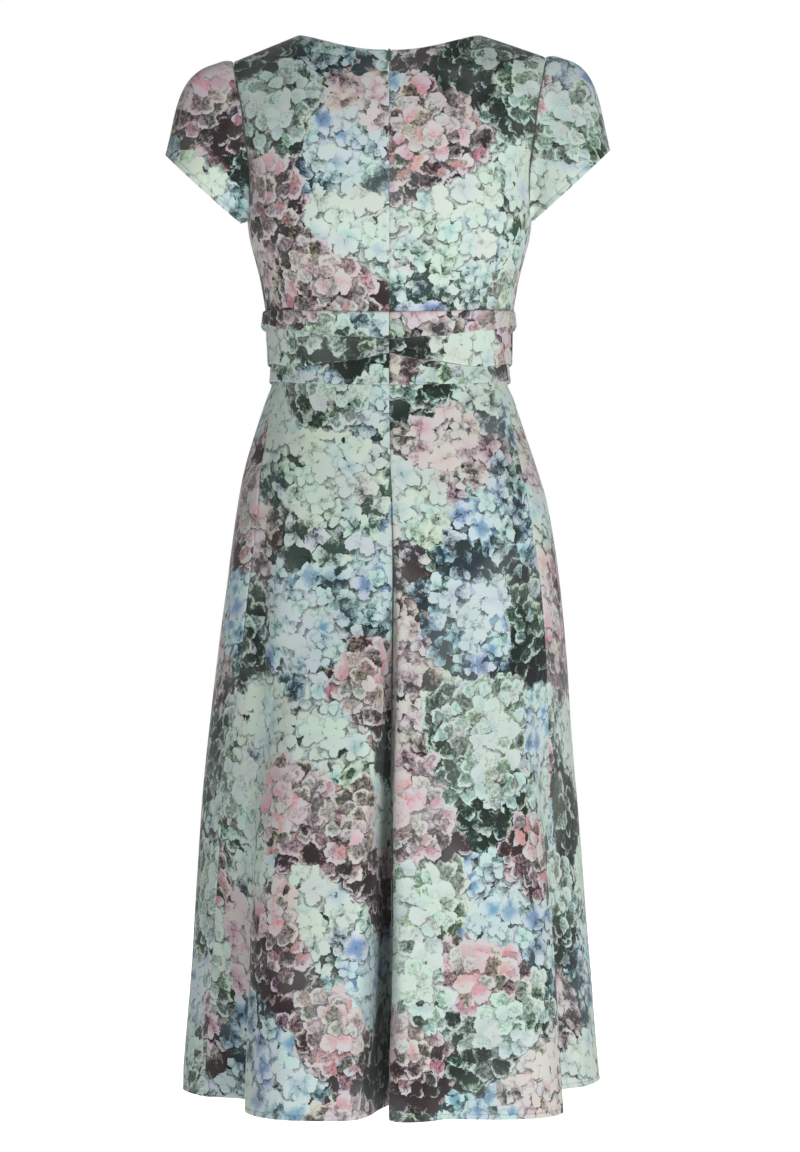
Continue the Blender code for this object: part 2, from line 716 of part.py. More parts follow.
def build_pull(frame):
    """Add the teardrop pull tab, with its origin on the axis it swings about."""
    outline = bpy.data.curves.new("zip_pull", "CURVE")
    outline.dimensions = "2D"
    outline.fill_mode = "BOTH"
    outline.extrude = PULL_THICK / 2 * MM
    leaf = list(zip(PULL_LEAF["half"], -PULL_LEAF["down"]))
    edge = leaf + [(-half, y) for half, y in reversed(leaf)]
    near, far = PULL_SLOT
    slot = [(-1.0, -near), (1.0, -near), (1.0, -far), (-1.0, -far)]
    for points in (edge, slot):
        line = outline.splines.new("POLY")
        line.points.add(len(points) - 1)
        for point, (x, y) in zip(line.points, points):
            point.co = (x * MM, y * MM, 0, 1)
        line.use_cyclic_u = True
    flat = bpy.data.objects.new("zip_pull", outline)
    flat.rotation_euler = (math.pi / 2, 0, 0)
    flat.location = Vector((0, PULL_OUT, -PULL_DOWN)) * MM
    flat.data.materials.append(material("zip metal").copy())
    flat.parent = frame
    DRESS.objects.link(flat)


def build_zip():
    """Add the tape, the slider and the pull."""
    build_tape()
    frame = zip_frame()
    build_slider(frame)
    build_pull(frame)


# ---------------------------------------------------------------- the whole dress

for old in list(bpy.data.objects):
    bpy.data.objects.remove(old, do_unlink=True)
DRESS = bpy.data.collections.new("Cocktail dress")
CUTTERS = bpy.data.collections.new("Cutters")
bpy.context.scene.collection.children.link(DRESS)
bpy.context.scene.collection.children.link(CUTTERS)

build_bodice()
build_sleeves()
build_band()
build_skirt()
build_zip()
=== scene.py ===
"""Looks of the cocktail dress: printed crepe, rolled seams, stitched hems and the back zip.

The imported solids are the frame.  Each cloth solid is replaced by a thin, finely modelled panel on
the same form, and the zip's metal keeps its solids.  Sizes here are in millimetres unless a name
or a comment says otherwise, and meshes are in metres.  +X is the wearer's left, +Y the back and
+Z up.  A "drop" is a distance below the shoulder neck points, and angles go round from the centre
back (0 degrees) by the wearer's left side (90) to the centre front (180).
"""

from __future__ import annotations

import logging
import math
from collections.abc import Callable, Sequence
from dataclasses import dataclass, field
from enum import Enum

import bmesh
import bpy
import numpy as np
from mathutils import Euler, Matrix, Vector

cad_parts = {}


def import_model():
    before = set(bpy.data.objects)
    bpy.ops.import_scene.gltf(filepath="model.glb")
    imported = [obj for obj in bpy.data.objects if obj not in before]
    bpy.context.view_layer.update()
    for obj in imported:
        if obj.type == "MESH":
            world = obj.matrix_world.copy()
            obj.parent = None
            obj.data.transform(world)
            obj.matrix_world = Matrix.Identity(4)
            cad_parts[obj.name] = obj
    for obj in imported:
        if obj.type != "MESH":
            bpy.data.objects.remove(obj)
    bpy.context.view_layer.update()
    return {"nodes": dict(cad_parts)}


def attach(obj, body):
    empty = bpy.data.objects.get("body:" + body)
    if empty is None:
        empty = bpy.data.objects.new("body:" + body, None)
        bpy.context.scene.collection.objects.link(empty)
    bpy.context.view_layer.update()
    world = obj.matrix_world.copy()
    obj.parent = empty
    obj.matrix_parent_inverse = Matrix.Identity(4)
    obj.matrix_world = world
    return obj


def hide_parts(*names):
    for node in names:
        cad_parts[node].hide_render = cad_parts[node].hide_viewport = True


LOG = logging.getLogger("cocktail_dress")
MM = 0.001
DRESS_BODY = "dress"
Array = np.ndarray
Colour = tuple[float, float, float]


# ------------------------------------------------------------------ the dress's own sizes

CLOTH = 1.5                # wall of the solids behind their outer face
SEAM = 0.3                 # gap between pieces
HEM_DROP = 1178.0
NECK_HALF = 102.5          # neck point to centre
SHOULDER_HALF = 174.0      # shoulder tip to centre
SHOULDER_FALL = 29.0       # drop of the shoulder tip
SHOULDER_ROUND = 130.0     # depth over which the shoulder rounds away
SHOULDER_TRIM = 0.5        # what each panel gives up at the shoulder seam
BACK_NECK, FRONT_NECK = 26.0, 95.0
UNDERARM = 210.0
BAND_TOP, BAND_FOOT = 308.0, 388.0
BACK_DIP = 7.7             # how much lower the waistband's top lies at the centre back
RIGHT_RISE = 7.0           # how much higher the wearer's right shoulder sits
SLOPE = SHOULDER_FALL / (SHOULDER_HALF - NECK_HALF)
BUST_SIDE, BUST_DROP, BUST_LIFT, BUST_SPREAD = 82.0, 205.0, 12.0, 44.0   # place and swell
CORNER_WIDTH, CORNER_DEPTH, CORNER_REACH = 3.5, 9.0, 7.0   # the neck's corners at the zip
ZIP_END = 517.0


def table(columns: str, *rows: tuple[float, ...]) -> dict[str, Array]:
    """Return one array for each column, by the names that spaces part in the first text."""
    return {name: np.array(values, float) for name, values in zip(columns.split(), zip(*rows))}


BODY = table(
    "drop half_width sway side_y back_y front_y square seam",
    (0, 210.0, 0, 0, 78, -70, 2.3, 81),
    (29, 200.0, 0, 0, 85, -80, 2.3, 81),
    (60, 190.0, 0, 0, 93, -90, 2.3, 81),
    (100, 177.0, 0, 0, 103, -106, 2.3, 81),
    (143, 166.0, 0, 0, 109, -122, 2.3, 81),
    (186, 160.2, 0, 0, 109, -131, 2.3, 81),
    (210, 159.0, 0, 0, 107, -134, 2.3, 81),
    (226, 157.0, 0, 0, 104, -134, 2.3, 81),
    (253, 150.0, 0, -2, 100, -131, 2.3, 81),
    (280, 143.4, 0, -4, 97, -126, 2.3, 81),
    (308, 139.0, 0, -6, 94, -120, 2.3, 80.5),
    (334, 136.6, 0, -7, 92, -117, 2.25, 79),
    (361, 133.6, 0, -8, 91.5, -116, 2.2, 78),
    (387, 131.8, 0, -8, 93.5, -117, 2.2, 77),
    (408, 138.9, 0, -8, 98, -120, 2.2, 75),
    (447, 151.8, -0.5, -6, 109, -128, 2.15, 71),
    (486, 164.0, -1.5, -4, 121, -133, 2.15, 68),
    (525, 173.6, -3.5, -2, 132, -137, 2.1, 66),
    (604, 185.0, -4.5, 0, 146, -142, 2.1, 65),
    (682, 191.5, -4, 0, 156, -149, 2.1, 65),
    (760, 194.5, -2.5, 0, 165, -155, 2.1, 65),
    (878, 196.5, 0, 0, 177, -164, 2.1, 65),
    (1035, 196.0, 0, 0, 190, -173, 2.1, 65),
    (HEM_DROP, 196.0, 0, 0, 200, -182, 2.1, 65),
)
ARMHOLE = table(
    "drop back front",
    (0, 74.6, 105.0),
    (29, 74.6, 104.6),
    (59, 73.8, 109.0),
    (87, 73.0, 113.0),
    (122, 74.0, 117.0),
    (150, 74.4, 117.0),
    (175, 76.6, 111.0),
    (195, 79.4, 97.0),
    (204, 80.4, 88.0),
    (210, 81.0, 81.0),
    (308, 81.0, 81.0),
)
FOLD_EDGES = table(
    "angle first second third",
    (0, 344.8, 361.0, 396.0),
    (26, 342.0, 369.0, 395.0),
    (55, 334.0, 374.0, 392.0),
    (80, 325.0, 368.0, 388.0),
    (120, 334.0, 372.0, 391.0),
    (180, 342.0, 367.0, 396.0),
)
ARMHOLE_ROWS = (0, 0.06, 0.12, 0.19, 0.28, 0.39, 0.51, 0.63, 0.75, 0.86, 0.94, 1)
ROW_EASE = 1.5

# The skirt's folds: share of the panel, place (x, y) at the hem, and the drop where it starts
BACK_LEFT_FOLDS = table(
    "share x y start",
    (0.00, -4, 118, 515), (0.02, 5, 142, 520), (0.045, 14, 177, 530), (0.07, 23, 209, 545),
    (0.105, 36, 233, 560), (0.22, 60, 239, 600), (0.39, 88, 238, 620), (0.54, 118, 229, 640),
    (0.65, 141, 207, 690), (0.71, 154, 177, 735), (0.735, 154, 142, 750), (0.76, 151, 108, 770),
    (0.80, 160, 84, 770), (0.88, 182, 74, 740),
)
FRONT_FOLDS = table(
    "share x y start",
    (0.00, 205, 60, 700), (0.05, 222, 36, 650), (0.10, 231, 8, 604), (0.14, 230, -22, 604),
    (0.18, 215, -52, 650), (0.215, 184, -74, 720), (0.235, 169, -102, 740),
    (0.255, 172, -140, 740), (0.28, 160, -178, 700), (0.32, 132, -206, 680),
    (0.37, 96, -216, 660), (0.415, 62, -202, 680), (0.445, 40, -170, 700),
    (0.465, 20, -170, 700), (0.49, -2, -202, 690), (0.53, -36, -224, 670),
    (0.58, -74, -230, 660), (0.63, -110, -216, 680), (0.675, -134, -184, 700),
    (0.70, -143, -146, 740), (0.72, -162, -128, 740), (0.75, -192, -146, 700),
    (0.79, -223, -132, 660), (0.84, -240, -92, 620), (0.875, -236, -54, 620),
    (0.91, -221, -13, 680), (0.94, -197, 10, 740), (0.97, -175, 32, 760),
)
BACK_RIGHT_FOLDS = table(
    "share x y start",
    (1.00, -165, 62, 770), (0.94, -166, 98, 770), (0.90, -178, 140, 760),
    (0.87, -186, 180, 735), (0.81, -172, 209, 690), (0.70, -148, 224, 660),
    (0.56, -118, 229, 640), (0.42, -86, 227, 620), (0.31, -60, 227, 600),
    (0.22, -44, 239, 590), (0.14, -27, 247, 580), (0.08, -9, 246, 570), (0.05, 0, 230, 560),
    (0.03, -5, 200, 545), (0.015, -10, 160, 530),
)
FOLD_EASE = 0.15           # how softly a fold begins

# Where a panel's first points lie from an edge that is rolled, turned under or stitched
SEAM_POINTS = (0.0, 0.5, 1.1, 2.0, 3.2)
NECK_POINTS = (0.0, 0.6, 1.4, 2.4)
HEAD_POINTS = (0.0, 0.5, 1.2, 2.2)
HEM_POINTS = (0.0, 0.7, 1.6, 3.0, 4.3, 5.0, 5.5, 6.0, 6.8, 8.5)
STITCH_ROW = 7             # which of the hem's points the stitches lie on, from the edge
STITCH_DROP = 5.5          # how far that row is from the edge
GROOVE_WIDTH = 0.8         # how far the stitches draw the cloth in to each side
ALLOWANCE = 9.0            # how much of a seam allowance is shown, turned under
CREASE_MARGIN, HOLLOW_MARGIN = 0.06, 0.04      # how bluntly creases and hollows end

# A turned edge's bend: how far out of the edge, and how far under as a share of the lie
TURNED_EDGE = ((0.12, 0.3), (0.0, 0.68), (-0.6, 0.95))


def hermite(t: Array | float, start: Array, leave: Array, end: Array, arrive: Array) -> Array:
    """Return points at shares of a cubic curve, from its ends and its slopes there."""
    return ((2 * t**3 - 3 * t**2 + 1) * start + (t**3 - 2 * t**2 + t) * leave
            + (3 * t**2 - 2 * t**3) * end + (t**3 - t**2) * arrive)


class Smooth:
    """A smooth curve through rows of values that never passes beyond them."""

    def __init__(self, knots: Sequence[float], values: Sequence[float]) -> None:
        """Work out the slope at each row.

        Args:
            knots: where the rows lie, rising.
            values: the curve's values there.
        """
        self.knots, self.values = np.array(knots, float), np.array(values, float)
        rises = np.diff(self.values) / np.diff(self.knots)
        rises = np.concatenate((rises[:1], rises, rises[-1:]))
        before, after = rises[:-1], rises[1:]
        level = before * after <= 0
        self.slopes = np.where(level, 0, 2 * before * after / np.where(level, 1, before + after))

    def __call__(self, where: Array | float) -> Array:
        """Return the curve's values.

        Args:
            where: the places, which are held between the first and the last row.

        Returns:
            The values there.
        """
        where = np.clip(where, self.knots[0], self.knots[-1])
        i = np.clip(np.searchsorted(self.knots, where) - 1, 0, len(self.knots) - 2)
        span = self.knots[i + 1] - self.knots[i]
        return hermite((where - self.knots[i]) / span, self.values[i], span * self.slopes[i],
                       self.values[i + 1], span * self.slopes[i + 1])


def smooth_columns(rows: dict[str, Array], key: str) -> dict[str, Smooth]:
    """Return a smooth curve for each column of a table but its key."""
    return {name: Smooth(rows[key], values) for name, values in rows.items() if name != key}


def unit(vectors: Array) -> Array:
    """Return vectors at length 1."""
    return vectors / np.maximum(np.linalg.norm(vectors, axis=-1, keepdims=True), 1e-9)


class Side(Enum):
    """The two sides of the bodice."""

    BACK = "back"
    FRONT = "front"


class DressForm:
    """The smooth hollow form that every cloth piece of the dress lies on."""

    def __init__(self) -> None:
        """Read the tables."""
        self.body = smooth_columns(BODY, "drop")
        self.armhole = smooth_columns(ARMHOLE, "drop")
        self.edges = smooth_columns(FOLD_EDGES, "angle")

    def point(self, angle: Array, drop: Array) -> Array:
        """Return points of the form.

        Args:
            angle: their angles in degrees.
            drop: their drops.

        Returns:
            The points, as an array with x, y and z last.
        """
        sine, cosine = np.sin(np.radians(angle)), np.cos(np.radians(angle))
        side_y = self.body["side_y"](drop)
        edge = np.where(cosine >= 0, self.body["back_y"](drop), self.body["front_y"](drop))
        power = self.body["square"](drop)
        radius = ((np.abs(sine) / self.body["half_width"](drop))**power
                  + (np.abs(cosine) / np.abs(edge - side_y))**power)**(-1 / power)
        x = self.body["sway"](drop) + radius * sine
        return np.stack(np.broadcast_arrays(x, side_y + radius * cosine, -drop), axis=-1)

    def normal(self, angle: Array, drop: Array) -> Array:
        """Return the form's level outward normals at angles in degrees and drops."""
        along = self.point(angle + 0.5, drop) - self.point(angle - 0.5, drop)
        return unit(np.stack((-along[..., 1], along[..., 0], 0 * along[..., 0]), axis=-1))

    def bodice(self, angle: Array, drop: Array) -> Array:
        """Return points of the bodice: the form, rounded over the shoulder, with the bust.

        Args:
            angle: their angles in degrees.
            drop: their drops.

        Returns:
            The points.
        """
        spot = self.point(angle, drop)
        x, y = np.abs(spot[..., 0]), spot[..., 1]
        rise = 1 - np.clip((drop - SLOPE * (x - NECK_HALF)) / SHOULDER_ROUND, 0, 1)
        y = y * np.sqrt(np.maximum(1 - rise**2, 0))
        bust = np.exp(-((x - BUST_SIDE) / BUST_SPREAD)**2 - ((drop - BUST_DROP) / BUST_SPREAD)**2)
        spot[..., 1] = y - np.where(np.cos(np.radians(angle)) < 0, BUST_LIFT * bust, 0)
        return spot

    def bodice_angle(self, share: Array, drop: Array, side: Side) -> Array:
        """Return the angle of a column that runs from the centre (0) to the side seam (1)."""
        edge = self.armhole[side.value](drop)
        return share * edge if side is Side.BACK else 180 - share * (180 - edge)

    def neck_share(self, side: Side) -> float:
        """Find where on a panel the neck point lies.

        Args:
            side: the front or the back.

        Returns:
            Its share of the way from the centre to the side seam.
        """
        shares = np.linspace(0, 1, 4001)
        across = np.abs(self.point(self.bodice_angle(shares, 0 * shares, side), 0 * shares)[:, 0])
        return float(np.interp(NECK_HALF, across, shares))

    def top_drop(self, share: Array, side: Side) -> Array:
        """Return the drop at which columns start, on the neckline or the shoulder seam.

        Args:
            share: how far each column is from the centre (0) to the side seam (1).
            side: the front or the back.

        Returns:
            The drops.
        """
        neck = self.neck_share(side)
        ratio = np.minimum(share / neck, 1)
        if side is Side.BACK:
            neckline = BACK_NECK * (1 - ratio**2.3)
        else:
            neckline = FRONT_NECK * np.maximum(1 - ratio**2.2, 0)**0.8
        drop = 0 * share
        for _ in range(12):
            x = np.abs(self.point(self.bodice_angle(share, drop, side), drop)[..., 0])
            drop = np.maximum(SLOPE * (x - NECK_HALF), 0)
        return np.where(share < neck, neckline, drop)

    def fold_edge(self, index: int, angle: Array) -> Array:
        """Return how low the waistband's edges lie.

        Args:
            index: 0 for its top, or 1 to 3 for a fold's lower edge.
            angle: angles in degrees.

        Returns:
            The drops there.
        """
        if index == 0:
            return BAND_TOP + BACK_DIP * np.maximum(np.cos(np.radians(angle)), 0)**1.3
        folded = 180 - np.abs(180 - np.mod(angle, 360))
        return self.edges[("first", "second", "third")[index - 1]](folded)


FORM = DressForm()


def mirrored(grid: Array) -> Array:
    """Return a grid for the wearer's right side, with its shoulder a little higher.

    Args:
        grid: the left side's grid.

    Returns:
        The right side's, with its columns in the opposite order.
    """
    grid = grid[:, ::-1] * np.array((-1.0, 1.0, 1.0))
    outward = np.clip((-grid[..., 0] - NECK_HALF) / (SHOULDER_HALF - NECK_HALF), 0, 1)
    upward = np.clip(1 + grid[..., 2] / UNDERARM, 0, 1)
    grid[..., 2] += RIGHT_RISE * outward * upward**2
    return grid


# ------------------------------------------------------------------ cloth grids

class Border(Enum):
    """The borders of a panel's grid, as the axis that leads inwards and whether it is the last."""

    TOP = (0, False)
    BOTTOM = (0, True)
    START = (1, False)
    END = (1, True)

    def first(self, grid: Array) -> Array:
        """Turn a grid so that this border is its first row.

        Args:
            grid: rows by columns.

        Returns:
            The turned grid.
        """
        axis, last = self.value
        grid = np.swapaxes(grid, 0, axis)
        return grid[::-1] if last else grid

    def back(self, grid: Array) -> Array:
        """Return a grid that first() has turned as it was."""
        axis, last = self.value
        return np.swapaxes(grid[::-1] if last else grid, 0, axis)


SEAMS = (Border.START, Border.END)


def respaced(grid: Array, count: int, start: Sequence[float], end: Sequence[float]) -> Array:
    """Space a grid's points afresh along its rows.

    Args:
        grid: rows by columns of points.
        count: how many even steps lie between the two ends' fixed distances.
        start: fixed distances from the first column, rising from 0.
        end: fixed distances from the last column, rising from 0.

    Returns:
        The new grid, with the same rows.
    """
    rows = []
    for row in grid:
        reach = np.concatenate(((0,), np.cumsum(np.linalg.norm(np.diff(row, axis=0), axis=1))))
        middle = np.linspace(start[-1], reach[-1] - end[-1], count + 1)[1:-1]
        places = np.concatenate((start, middle, reach[-1] - np.array(end)[::-1]))
        rows.append(np.stack([np.interp(places, reach, row[:, k]) for k in range(3)], axis=1))
    return np.array(rows)


def respaced_down(grid: Array, count: int, start: Sequence[float],
                  end: Sequence[float]) -> Array:
    """Space a grid's points afresh down its columns, as respaced() does along its rows."""
    return np.swapaxes(respaced(np.swapaxes(grid, 0, 1), count, start, end), 0, 1)


def grid_normals(points: Array, closed: bool) -> Array:
    """Return the outward normals of a grid.

    Args:
        points: rows by columns of points.
        closed: whether the last column meets the first.

    Returns:
        The normals.
    """
    down = np.gradient(points, axis=0)
    if closed:
        across = np.roll(points, -1, 1) - np.roll(points, 1, 1)
    else:
        across = np.gradient(points, axis=1)
    return unit(np.cross(across, down))


def summed(lengths: Array, axis: int) -> Array:
    """Return the running sums of lengths along an axis, from 0."""
    return np.insert(np.cumsum(lengths, axis=axis), 0, 0.0, axis=axis)


def trough(places: Array, start: tuple[float, float], end: tuple[float, float], width: float,
           margin: float) -> Array:
    """Return how deep a soft trough is, as a share of its depth.

    Args:
        places: places on a plane.
        start: where the trough starts.
        end: where it ends.
        width: how wide it is to each side.
        margin: how far from nothing its depth is at the ends, as a share of its length.

    Returns:
        Numbers from 0 to 1.
    """
    first, along = np.array(start), np.array(end) - np.array(start)
    share = np.clip(((places - first) @ along) / (along @ along), 0, 1)
    away = np.linalg.norm(places - first - share[..., None] * along, axis=-1)
    return np.exp(-(away / width)**2) * np.sin(math.pi * (margin + (1 - 2 * margin) * share))


@dataclass
class Cloth:
    """A panel of cloth as a grid of points on its outer face.

    Attributes:
        name: the finished piece's name.
        points: rows by columns of points.
        closed: whether the panel is a tube.
        axis: the line that a tube's print is laid out round.
        hangs_from_top: whether its print is laid out from its first row or its last.
        print_place: where on the printed cloth it was cut, in metres.
    """

    name: str
    points: Array
    closed: bool = False
    axis: tuple[float, float, float] = (0.85, 0.0, -0.53)
    hangs_from_top: bool = True
    print_place: tuple[float, float] = (0.0, 0.0)
    normals: Array = field(init=False)
    layout: Array = field(init=False)

    def __post_init__(self) -> None:
        """Work out the normals and the flat layout."""
        self.refresh()

    def refresh(self) -> None:
        """Work out the normals and the flat layout again from the points."""
        self.normals = grid_normals(self.points, self.closed)
        self.layout = self.flat_layout()

    def round_layout(self) -> Array:
        """Unroll a tube from its underside.

        Returns:
            Each point's place on the flat cloth.
        """
        axis = unit(np.array(self.axis))
        upward = unit(np.array((0, 0, 1.0)) - axis[2] * axis)
        from_middle = self.points - self.points.mean(axis=(0, 1))
        up, aside = from_middle @ upward, from_middle @ np.cross(axis, upward)
        turn = np.unwrap(np.arctan2(aside, up), axis=1)
        middle = turn[:, turn.shape[1] // 2, None]
        turn = (turn - 2 * math.pi * np.round(middle / 2 / math.pi)) * np.hypot(up, aside).mean()
        turn *= np.sign(turn[0, -1] - turn[0, 0])
        return np.stack((turn, from_middle @ axis), axis=-1)

    def flat_layout(self) -> Array:
        """Lay the panel out flat.

        Returns:
            Each point's place on the flat cloth.
        """
        if self.closed:
            return self.round_layout()
        across = summed(np.linalg.norm(np.diff(self.points[..., :2], axis=1), axis=2), 1)
        across -= across[:, across.shape[1] // 2, None]
        down = summed(np.linalg.norm(np.diff(self.points, axis=0), axis=2), 0)
        if not self.hangs_from_top:
            down -= down[-1]
        return np.stack((across, down), axis=-1)

    def from_border(self, border: Border) -> Array:
        """Return every point's distance from a border, along the cloth."""
        steps = np.linalg.norm(np.diff(border.first(self.points), axis=0), axis=2)
        return border.back(summed(steps, 0))

    def push(self, height: Array) -> None:
        """Move the points out along their normals."""
        self.points = self.points + self.normals * np.asarray(height)[..., None]

    def roll(self, depth: float, width: float, *borders: Border) -> None:
        """Let borders sink so deep into their seams, from so far in."""
        for border in borders:
            self.push(-depth * np.clip(1 - self.from_border(border) / width, 0, 1)**2)

    def stitch_hem(self, depth: float, proud: float) -> Array:
        """Press the groove that the hem's stitches draw into the cloth.

        Args:
            depth: how deep it is.
            proud: how far out from the cloth the thread lies.

        Returns:
            The thread's path.
        """
        above = self.from_border(Border.BOTTOM)
        self.push(-depth * np.exp(-((above - STITCH_DROP) / GROOVE_WIDTH)**2))
        self.refresh()
        return self.points[-STITCH_ROW] + self.normals[-STITCH_ROW] * proud

    def turn_under(self, border: Border, width: float, lie: float = 1.7) -> None:
        """Fold a seam allowance or hem under the cloth.

        Args:
            border: which border.
            width: how wide the turning is.
            lie: how far behind the outer face it lies.
        """
        points, normals, reach = (border.first(part) for part in
                                  (self.points, self.normals, self.from_border(border)))

        def inside(part: Array, distance: float) -> Array:
            """Return the values that a part of the grid has at a distance from the border."""
            return np.array([[np.interp(distance, reach[:, c], part[:, c, k]) for k in range(3)]
                             for c in range(part.shape[1])])

        behind = 4.0               # where the cloth is flat enough to give its direction
        edge, normal = points[0], unit(inside(normals, behind))
        outward = unit(edge - inside(points, behind))
        added = [edge + outward * out - normal * under * lie for out, under in TURNED_EDGE]
        for distance in (0.5 * width, width):
            added.append(inside(points, distance) - unit(inside(normals, distance)) * lie)
        self.points = border.back(np.concatenate((np.array(added[::-1]), points)))
        self.normals = border.back(np.concatenate((np.array([normal] * len(added)), normals)))
        self.layout = self.flat_layout()

    def ripple(self, seed: int, height: float, longest: float = 190.0) -> None:
        """Add slight uneven waves, as in cloth that has been worn.

        Args:
            seed: which waves.
            height: how high each wave is.
            longest: the longest wave's length.
        """
        waves, drawn_out, calm = 7, 0.55, 30.0     # calm: how far in from its borders it is flat
        chance = np.random.default_rng(seed)
        total = np.zeros(self.points.shape[:2])
        for _ in range(waves):
            length, turn = chance.uniform(0.3, 1) * longest, chance.uniform(0, math.pi)
            phase = 2 * math.pi / length * (self.layout[..., 0] * math.cos(turn)
                                            + self.layout[..., 1] * math.sin(turn) * drawn_out)
            total += np.sin(phase + chance.uniform(0, 6.3)) * length / longest
        near = np.ones_like(total)
        for border in Border:
            near = np.minimum(near, np.clip(self.from_border(border) / calm, 0, 1))
        self.push(height * total * near * near * (3 - 2 * near))

    def crease(self, start: tuple[float, float], end: tuple[float, float],
               depth: float, width: float) -> None:
        """Press a soft trough into the flat layout, or with a negative depth raise a ridge."""
        self.push(-depth * trough(self.layout, start, end, width, CREASE_MARGIN))


def face_corners(grid: Array) -> Array:
    """Return the values at each face's four corners, from a grid of them."""
    return np.stack((grid[:-1, :-1], grid[:-1, 1:], grid[1:, 1:], grid[1:, :-1]), axis=2)


def panel_mesh(cloth: Cloth) -> bpy.types.Mesh:
    """Return an open surface with its print layout from a panel's grid.

    Args:
        cloth: the panel.

    Returns:
        The mesh, under the panel's name.
    """
    rows, columns = cloth.points.shape[:2]
    index = np.arange(rows * columns).reshape(rows, columns)
    if cloth.closed:
        index = np.concatenate((index, index[:, :1]), axis=1)
    mesh = bpy.data.meshes.new(cloth.name)
    mesh.from_pydata((cloth.points.reshape(-1, 3) * MM).tolist(), [],
                     face_corners(index).reshape(-1, 4).tolist())
    layout = cloth.layout
    if cloth.closed:
        gap = np.linalg.norm(cloth.points[:, 0] - cloth.points[:, -1], axis=1)
        after = layout[:, -1:] + np.stack((gap, 0 * gap), axis=-1)[:, None]
        layout = np.concatenate((layout, after), axis=1)
    corners = face_corners(layout).reshape(-1, 2) * MM + np.array(cloth.print_place)
    layer = mesh.uv_layers.new(name="print_layout")
    layer.data.foreach_set("uv", corners.astype(np.float32).ravel())
    mesh.shade_smooth()
    return mesh


def link(name: str, data: bpy.types.ID, *finishes: bpy.types.Material) -> bpy.types.Object:
    """Put a mesh, a lamp or a camera into the scene.

    Args:
        name: the object's name.
        data: the mesh, lamp or camera.
        finishes: a mesh's materials, in order.

    Returns:
        The object.
    """
    for finish in finishes:
        data.materials.append(finish)
    item = bpy.data.objects.new(name, data)
    bpy.context.scene.collection.objects.link(item)
    return item


# ------------------------------------------------------------------ node expressions

class Wire:
    """A node's output.  Arithmetic on it adds Math nodes."""

    def __init__(self, nodes: NodeSet, socket: bpy.types.NodeSocket) -> None:
        """Wrap an output socket of a tree."""
        self.nodes, self.socket = nodes, socket

    def _math(self, operation: str, *values: Wire | float) -> Wire:
        """Return a Math node's result on these values."""
        return self.nodes.add("ShaderNodeMath", {"operation": operation}, values)[0]

    def __add__(self, other: Wire | float) -> Wire:
        """Return the sum."""
        return self._math("ADD", self, other)

    def __sub__(self, other: Wire | float) -> Wire:
        """Return the difference."""
        return self._math("SUBTRACT", self, other)

    def __rsub__(self, other: float) -> Wire:
        """Return a number less this value."""
        return self._math("SUBTRACT", other, self)

    def __mul__(self, other: Wire | float) -> Wire:
        """Return the product."""
        return self._math("MULTIPLY", self, other)

    __radd__, __rmul__ = __add__, __mul__

    def __truediv__(self, other: Wire | float) -> Wire:
        """Return the quotient."""
        return self._math("DIVIDE", self, other)

    def call(self, operation: str, *values: Wire | float) -> Wire:
        """Return a named Math operation on this value and others."""
        return self._math(operation, self, *values)

    def smooth(self, low: float, high: float) -> Wire:
        """Return 0 to 1 as the value goes smoothly from low to high."""
        return self.nodes.add("ShaderNodeMapRange", {"interpolation_type": "SMOOTHSTEP"},
                              {"Value": self, "From Min": low, "From Max": high})["Result"]


class Outputs:
    """A node's outputs, by name or place."""

    def __init__(self, nodes: NodeSet, node: bpy.types.Node) -> None:
        """Remember the node."""
        self.nodes, self.node = nodes, node

    def __getitem__(self, key: str | int) -> Wire:
        """Return one output."""
        return Wire(self.nodes, self.node.outputs[key])


